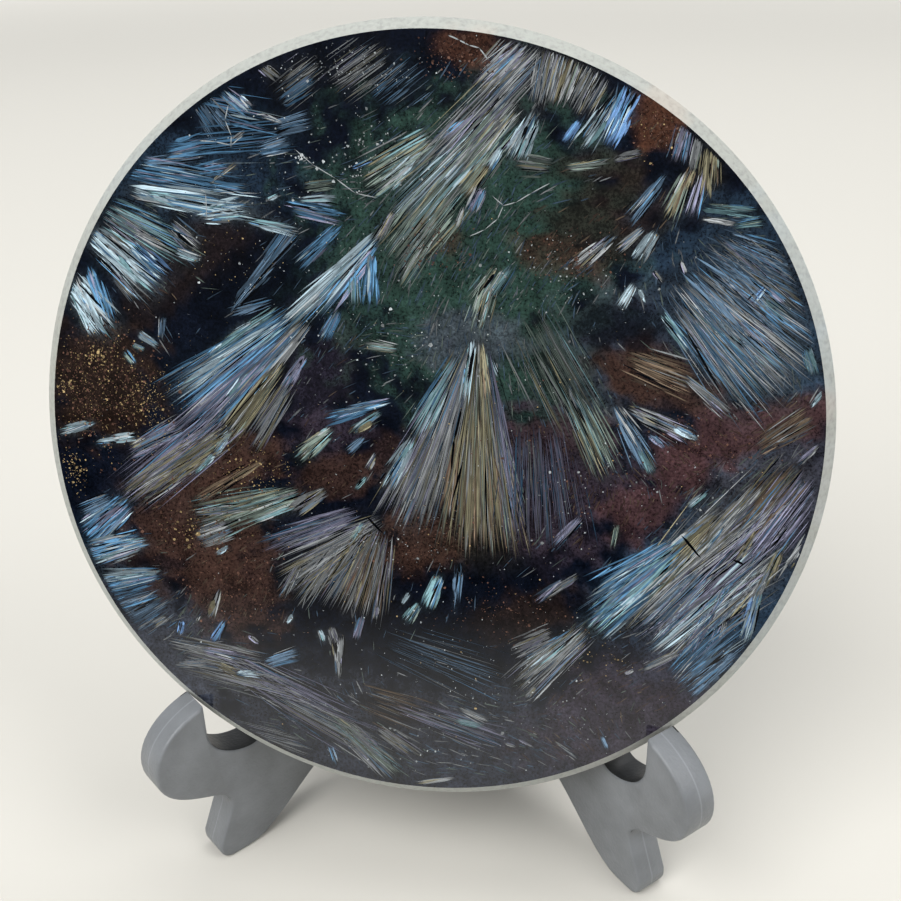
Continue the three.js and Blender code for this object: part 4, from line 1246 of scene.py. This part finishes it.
class MakeStone(bpy.types.Operator):
    """Spins the slice from its profile and gives its rock the colours of its patches"""

    bl_idname = "slice.make_stone"
    bl_label = "Stone"

    def execute(self, context):
        sizes = context.scene.slice_sizes
        colours = context.scene.slice_colours
        face_radius = sizes.radius - sizes.bevel_width
        rings = round(face_radius / sizes.ring_step)
        profile = [(face_radius * ring / rings, 0) for ring in range(rings + 1)]
        profile += [
            (sizes.radius, -sizes.bevel_depth),
            (sizes.radius, sizes.bevel_depth - sizes.thickness),
        ]
        back_rings = range(BACK_RINGS, -1, -1)
        profile += [(face_radius * ring / BACK_RINGS, -sizes.thickness) for ring in back_rings]
        places = [FACE_CENTRE + FACE_RIGHT * radius + FACE_OUT * out for radius, out in profile]

        deselect_all()
        bpy.ops.mesh.primitive_plane_add(size=MM, location=places[0])
        stone = context.object
        stone.name = "stone"
        bpy.ops.object.transform_apply(location=True, rotation=True, scale=True)
        bpy.ops.object.mode_set(mode="EDIT")
        bpy.ops.mesh.select_all(action="SELECT")
        bpy.ops.mesh.merge(type="CENTER")
        for start, end in zip(places, places[1:]):
            bpy.ops.mesh.extrude_vertices_move(TRANSFORM_OT_translate={"value": end - start})
        bpy.ops.mesh.select_all(action="SELECT")
        bpy.ops.mesh.spin(steps=STONE_SIDES, angle=2 * math.pi, center=FACE_CENTRE, axis=FACE_OUT)
        bpy.ops.mesh.select_all(action="SELECT")
        bpy.ops.mesh.remove_doubles(threshold=STONE_MERGE)
        bpy.ops.mesh.normals_make_consistent(inside=False)
        bpy.ops.object.mode_set(mode="OBJECT")
        bpy.ops.object.shade_smooth_by_angle(angle=STONE_BEND)

        self.wave_outline(stone.data, sizes)
        self.tint_rock_and_reflection(stone.data, sizes, colours)
        stone.data.materials.append(polished_rock(sizes, colours))
        belongs(stone, "stone", "slice")
        return {"FINISHED"}

    @staticmethod
    def face_places(mesh):
        points = np.empty(len(mesh.vertices) * 3)
        mesh.vertices.foreach_get("co", points)
        offset = points.reshape(-1, 3) - np.array(FACE_CENTRE)
        return offset @ np.array(FACE_RIGHT), offset @ np.array(FACE_UP), offset @ np.array(FACE_OUT)

    def wave_outline(self, mesh, sizes):
        across, up, out = self.face_places(mesh)
        angle = np.arctan2(up, across)
        swell = sum(
            height * MM * np.cos(lobes * (angle - math.radians(crest)))
            for lobes, height, crest in OUTLINE_WAVES
        )
        stretch = 1 + swell / sizes.radius
        mesh.vertices.foreach_set("co", on_face(across * stretch, up * stretch, out).ravel())

    def tint_rock_and_reflection(self, mesh, sizes, colours):
        across, up, _ = self.face_places(mesh)
        tint, _ = ground_and_reflection_tint(across / MM, up / MM, colours)
        layer = mesh.attributes.new("rock_tint", "FLOAT_COLOR", "POINT")
        layer.data.foreach_set("color", np.column_stack([tint, np.ones(len(tint))]).ravel())
        middles = np.array([polygon.center for polygon in mesh.polygons]) - np.array(FACE_CENTRE)
        height = middles @ np.array(FACE_OUT)
        zone = np.where(height > -ZONE_MARGIN, FACE_ZONE, EDGE_ZONE).astype(float)
        zone[height < ZONE_MARGIN - sizes.thickness] = BACK_ZONE
        mesh.attributes.new("finish_zone", "FLOAT", "FACE").data.foreach_set("value", zone)


class MakeGrains(bpy.types.Operator):
    """Lays the sprays, fibres, cracks and flecks flush in the polished face, a piece for each mineral"""

    bl_idname = "slice.make_grains"
    bl_label = "Blades and flecks"

    def execute(self, context):
        sizes = context.scene.slice_sizes
        colours = context.scene.slice_colours
        draw = np.random.default_rng(SEED)
        blades = {family: [] for family in FAMILIES}
        flecks = {family: [] for family in FAMILIES}
        for family, rows in fibre_blades(colours, draw).items():
            blades[family].extend(rows)
        for spray in SPRAYS:
            for family, row in spray_blades(spray, draw):
                blades[family].append(row)
        for vein in VEINS:
            blades[vein[0]].extend(vein_blades(vein))
        for family, centre_x, centre_y, half_x, half_y, count, size in FLECK_PATCHES:
            spots = draw.normal(0, FLECK_SPREAD, (count, 2)) * (half_x, half_y) + (centre_x, centre_y)
            for x, y in spots:
                grain = size * draw.lognormal(*FLECK_SIZES)
                tone = np.clip(draw.normal(*FLECK_TONE), *FLECK_TONES)
                flecks[family].append((x, y, grain, tone))
        limit = (sizes.radius - sizes.bevel_width) / MM - EDGE_MARGIN
        for family in FAMILIES:
            self.make_family(family, blades[family], flecks[family], limit, sizes, colours, draw)
        return {"FINISHED"}

    @staticmethod
    def make_family(family, blades, flecks, limit, sizes, colours, draw):
        cut_blades = [cut_at_edge(blade, limit) for blade in blades]
        blades = [blade for blade in cut_blades if blade]
        flecks = [fleck for fleck in flecks if math.hypot(fleck[0], fleck[1]) < limit]
        points = np.empty((0, 3))
        tones = np.empty(0)
        along = np.empty(0)
        faces = []
        through = blades[::BACK_STEP]
        for rows, arrays, on_back in (
            (blades, blade_arrays, False), (flecks, fleck_arrays, False), (through, blade_arrays, True)
        ):
            if rows:
                new_points, new_faces, new_tones, new_along = arrays(rows, sizes, draw)
                if on_back:
                    height = (new_points - np.array(FACE_CENTRE)) @ np.array(FACE_OUT)
                    new_points = new_points - np.outer(2 * height + sizes.thickness, FACE_OUT)
                    new_faces = [face[::-1] for face in new_faces]
                    new_tones = BACK_TONE * new_tones
                faces.extend(tuple(len(points) + corner for corner in face) for face in new_faces)
                points = np.concatenate([points, new_points])
                tones = np.concatenate([tones, new_tones])
                along = np.concatenate([along, new_along])
        piece = make_piece(f"{family}_grains", points.tolist(), faces, polished_mineral(family, colours))
        add_layout(piece.data, tones, along)
        belongs(piece, "stone")


class MakeEasel(bpy.types.Operator):
    """Finishes the easel's arms and pin from their CAD nodes"""

    bl_idname = "slice.make_easel"
    bl_label = "Easel"

    def execute(self, context):
        sizes = context.scene.slice_sizes
        colours = context.scene.slice_colours
        plastic = moulded_plastic(sizes, colours)
        for node, side in (("left_arm", -1), ("right_arm", 1)):
            arm = self.smooth_copy(node, plastic)
            plate_normal = np.array((math.cos(ARM_ANGLE), side * math.sin(ARM_ANGLE), 0))
            points = np.array([vertex.co for vertex in arm.data.vertices]) - np.array(HINGE)
            layer = arm.data.attributes.new("across_plate", "FLOAT", "POINT")
            layer.data.foreach_set("value", points @ plate_normal)
            # Faces in the hollow below the stone are marked for painted shade
            arm.data.attributes.new("cradle", "FLOAT", "FACE").data.foreach_set(
                "value", [self.in_painted_shade(polygon, plate_normal) for polygon in arm.data.polygons]
            )
            belongs(arm, "plastic", node)
        pin = self.smooth_copy("hinge_pin", drawn_steel(colours))
        belongs(pin, "steel", "hinge_pin")
        return {"FINISHED"}

    @staticmethod
    def in_painted_shade(polygon, plate_normal):
        """Tells the arm's faces in the hollow below the stone, which get painted shade, from its other
        faces.
        """
        offset = polygon.center - FACE_CENTRE
        height = offset.dot(FACE_OUT)
        inward = FACE_OUT * height - offset
        on_edge = abs(polygon.normal.dot(Vector(plate_normal))) < EDGE_FACING
        return on_edge and -CRADLE_DEPTH < height < 0 and inward.length < CRADLE_FAR

    @staticmethod
    def smooth_copy(node, material):
        """A merged and smoothed copy of a CAD node, with its finish."""
        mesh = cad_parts[node].data.copy()
        mesh.materials.clear()
        mesh.materials.append(material)
        piece = bpy.data.objects.new(f"{node}_finished", mesh)
        bpy.context.scene.collection.objects.link(piece)
        deselect_all()
        bpy.context.view_layer.objects.active = piece
        piece.select_set(True)
        bpy.ops.object.mode_set(mode="EDIT")
        bpy.ops.mesh.select_all(action="SELECT")
        bpy.ops.mesh.remove_doubles(threshold=ARM_MERGE)
        bpy.ops.object.mode_set(mode="OBJECT")
        bpy.ops.object.shade_smooth_by_angle(angle=ARM_BEND)
        return piece


class MakeStage(bpy.types.Operator):
    """Sets up the floor, the flag, the soft lights, the room and the camera"""

    bl_idname = "slice.make_stage"
    bl_label = "Stage"

    # Soft boxes: name, place in metres, width in metres, power in watts
    SOFT_BOXES = [
        ("key_light", (-1.0, -1.6, 1.9), 2.0, 80),
        ("top_light", (0.3, 0.6, 2.2), 1.8, 26),
        ("right_light", (1.6, -0.7, 1.5), 1.2, 21),
    ]

    def execute(self, context):
        sizes = context.scene.slice_sizes
        colours = context.scene.slice_colours
        deselect_all()
        bpy.ops.mesh.primitive_plane_add(size=sizes.floor_width)
        floor = context.object
        floor.name = "floor"
        floor.data.materials.append(painted_board(colours))
        self.lay_flag(context, sizes, colours)
        for name, place, width, power in self.SOFT_BOXES:
            bpy.ops.object.light_add(type="AREA", location=place)
            light = context.object
            light.name = name
            light.data.shape = "SQUARE"
            light.data.size = width
            light.data.energy = power
            light.rotation_euler = (FACE_CENTRE - Vector(place)).to_track_quat("-Z", "Y").to_euler()
        context.scene.view_settings.view_transform = "Standard"
        self.light_room(context.scene, colours)
        self.place_camera(context)
        return {"FINISHED"}

    @staticmethod
    def lay_flag(context, sizes, colours):
        """A black flag on the floor in front, seen in mirror images only, so the stone keeps its depth."""
        middle = -FLAG_NEAR - sizes.floor_width / 2
        bpy.ops.mesh.primitive_plane_add(size=sizes.floor_width, location=(0, middle, FLAG_HEIGHT))
        bpy.ops.object.transform_apply(location=True, rotation=False, scale=False)
        flag = context.object
        flag.name = "flag"
        flag.data.materials.append(black_gauze(colours))
        flag.visible_camera = False
        flag.visible_diffuse = False
        flag.visible_shadow = False

    @staticmethod
    def light_room(scene, colours):
        """Pale behind the object and dim in front of it, so the polish mirrors a dark room."""
        world = bpy.data.worlds.new("room")
        world.use_nodes = True
        tree = world.node_tree
        tree.nodes.clear()
        direction = add_node(tree, "ShaderNodeTexCoord").outputs["Generated"]
        parts = add_node(tree, "ShaderNodeSeparateXYZ", {0: direction})
        mix = add_node(
            tree,
            "ShaderNodeMapRange",
            {0: parts.outputs["Y"], 1: ROOM_DIM, 2: ROOM_PALE},
            interpolation_type="SMOOTHSTEP",
        )
        colour = add_node(
            tree,
            "ShaderNodeMix",
            {"Factor": mix.outputs[0], 6: opaque(colours.shade), 7: opaque(colours.horizon)},
            data_type="RGBA",
        )
        seen = add_node(tree, "ShaderNodeLightPath").outputs["Is Camera Ray"]
        view = add_node(
            tree,
            "ShaderNodeMix",
            {"Factor": seen, 6: colour.outputs[2], 7: opaque(colours.backdrop)},
            data_type="RGBA",
        )
        background = add_node(
            tree, "ShaderNodeBackground", {"Color": view.outputs[2], "Strength": ROOM_STRENGTH}
        )
        add_node(tree, "ShaderNodeOutputWorld", {"Surface": background.outputs[0]})
        scene.world = world

    @staticmethod
    def place_camera(context):
        forward = Vector((
            -math.sin(CAMERA_YAW) * math.cos(CAMERA_PITCH),
            math.cos(CAMERA_YAW) * math.cos(CAMERA_PITCH),
            -math.sin(CAMERA_PITCH),
        ))
        level = Vector((math.cos(CAMERA_YAW), math.sin(CAMERA_YAW), 0))
        upright = level.cross(forward)
        right = level * math.cos(CAMERA_ROLL) + upright * math.sin(CAMERA_ROLL)
        up = upright * math.cos(CAMERA_ROLL) - level * math.sin(CAMERA_ROLL)
        data = bpy.data.cameras.new("camera")
        data.sensor_width = SENSOR_WIDTH
        data.lens = SENSOR_WIDTH * FOCAL_PIXELS / FRAME_PIXELS
        data.clip_start = CAMERA_CLIP
        camera = bpy.data.objects.new("camera", data)
        context.scene.collection.objects.link(camera)
        turn = Matrix((right, up, -forward)).transposed().to_4x4()
        camera.matrix_world = Matrix.Translation(CAMERA_PLACE) @ turn
        context.scene.camera = camera


class SlicePanel(bpy.types.Panel):
    """Lists the pieces and what can be changed on them"""

    bl_idname = "SLICE_PT_pieces"
    bl_label = "Astrophyllite Slice"
    bl_space_type = "VIEW_3D"
    bl_region_type = "UI"
    bl_category = "Slice"

    def draw(self, context):
        for maker in MAKERS:
            self.layout.operator(maker.bl_idname)
        for group in (context.scene.slice_sizes, context.scene.slice_colours):
            box = self.layout.box()
            for name in group.__annotations__:
                box.prop(group, name)


MAKERS = (MakeStone, MakeGrains, MakeEasel, MakeStage)
CLASSES = (SliceSizes, SliceColours, *MAKERS, SlicePanel)


def register():
    for each in CLASSES:
        bpy.utils.register_class(each)
    bpy.types.Scene.slice_sizes = bpy.props.PointerProperty(type=SliceSizes)
    bpy.types.Scene.slice_colours = bpy.props.PointerProperty(type=SliceColours)


def unregister():
    del bpy.types.Scene.slice_colours
    del bpy.types.Scene.slice_sizes
    for each in reversed(CLASSES):
        bpy.utils.unregister_class(each)


def main():
    register()
    bpy.ops.slice.make_stone()
    bpy.ops.slice.make_grains()
    bpy.ops.slice.make_easel()
    bpy.ops.slice.make_stage()


if __name__ == "__main__":
    main()
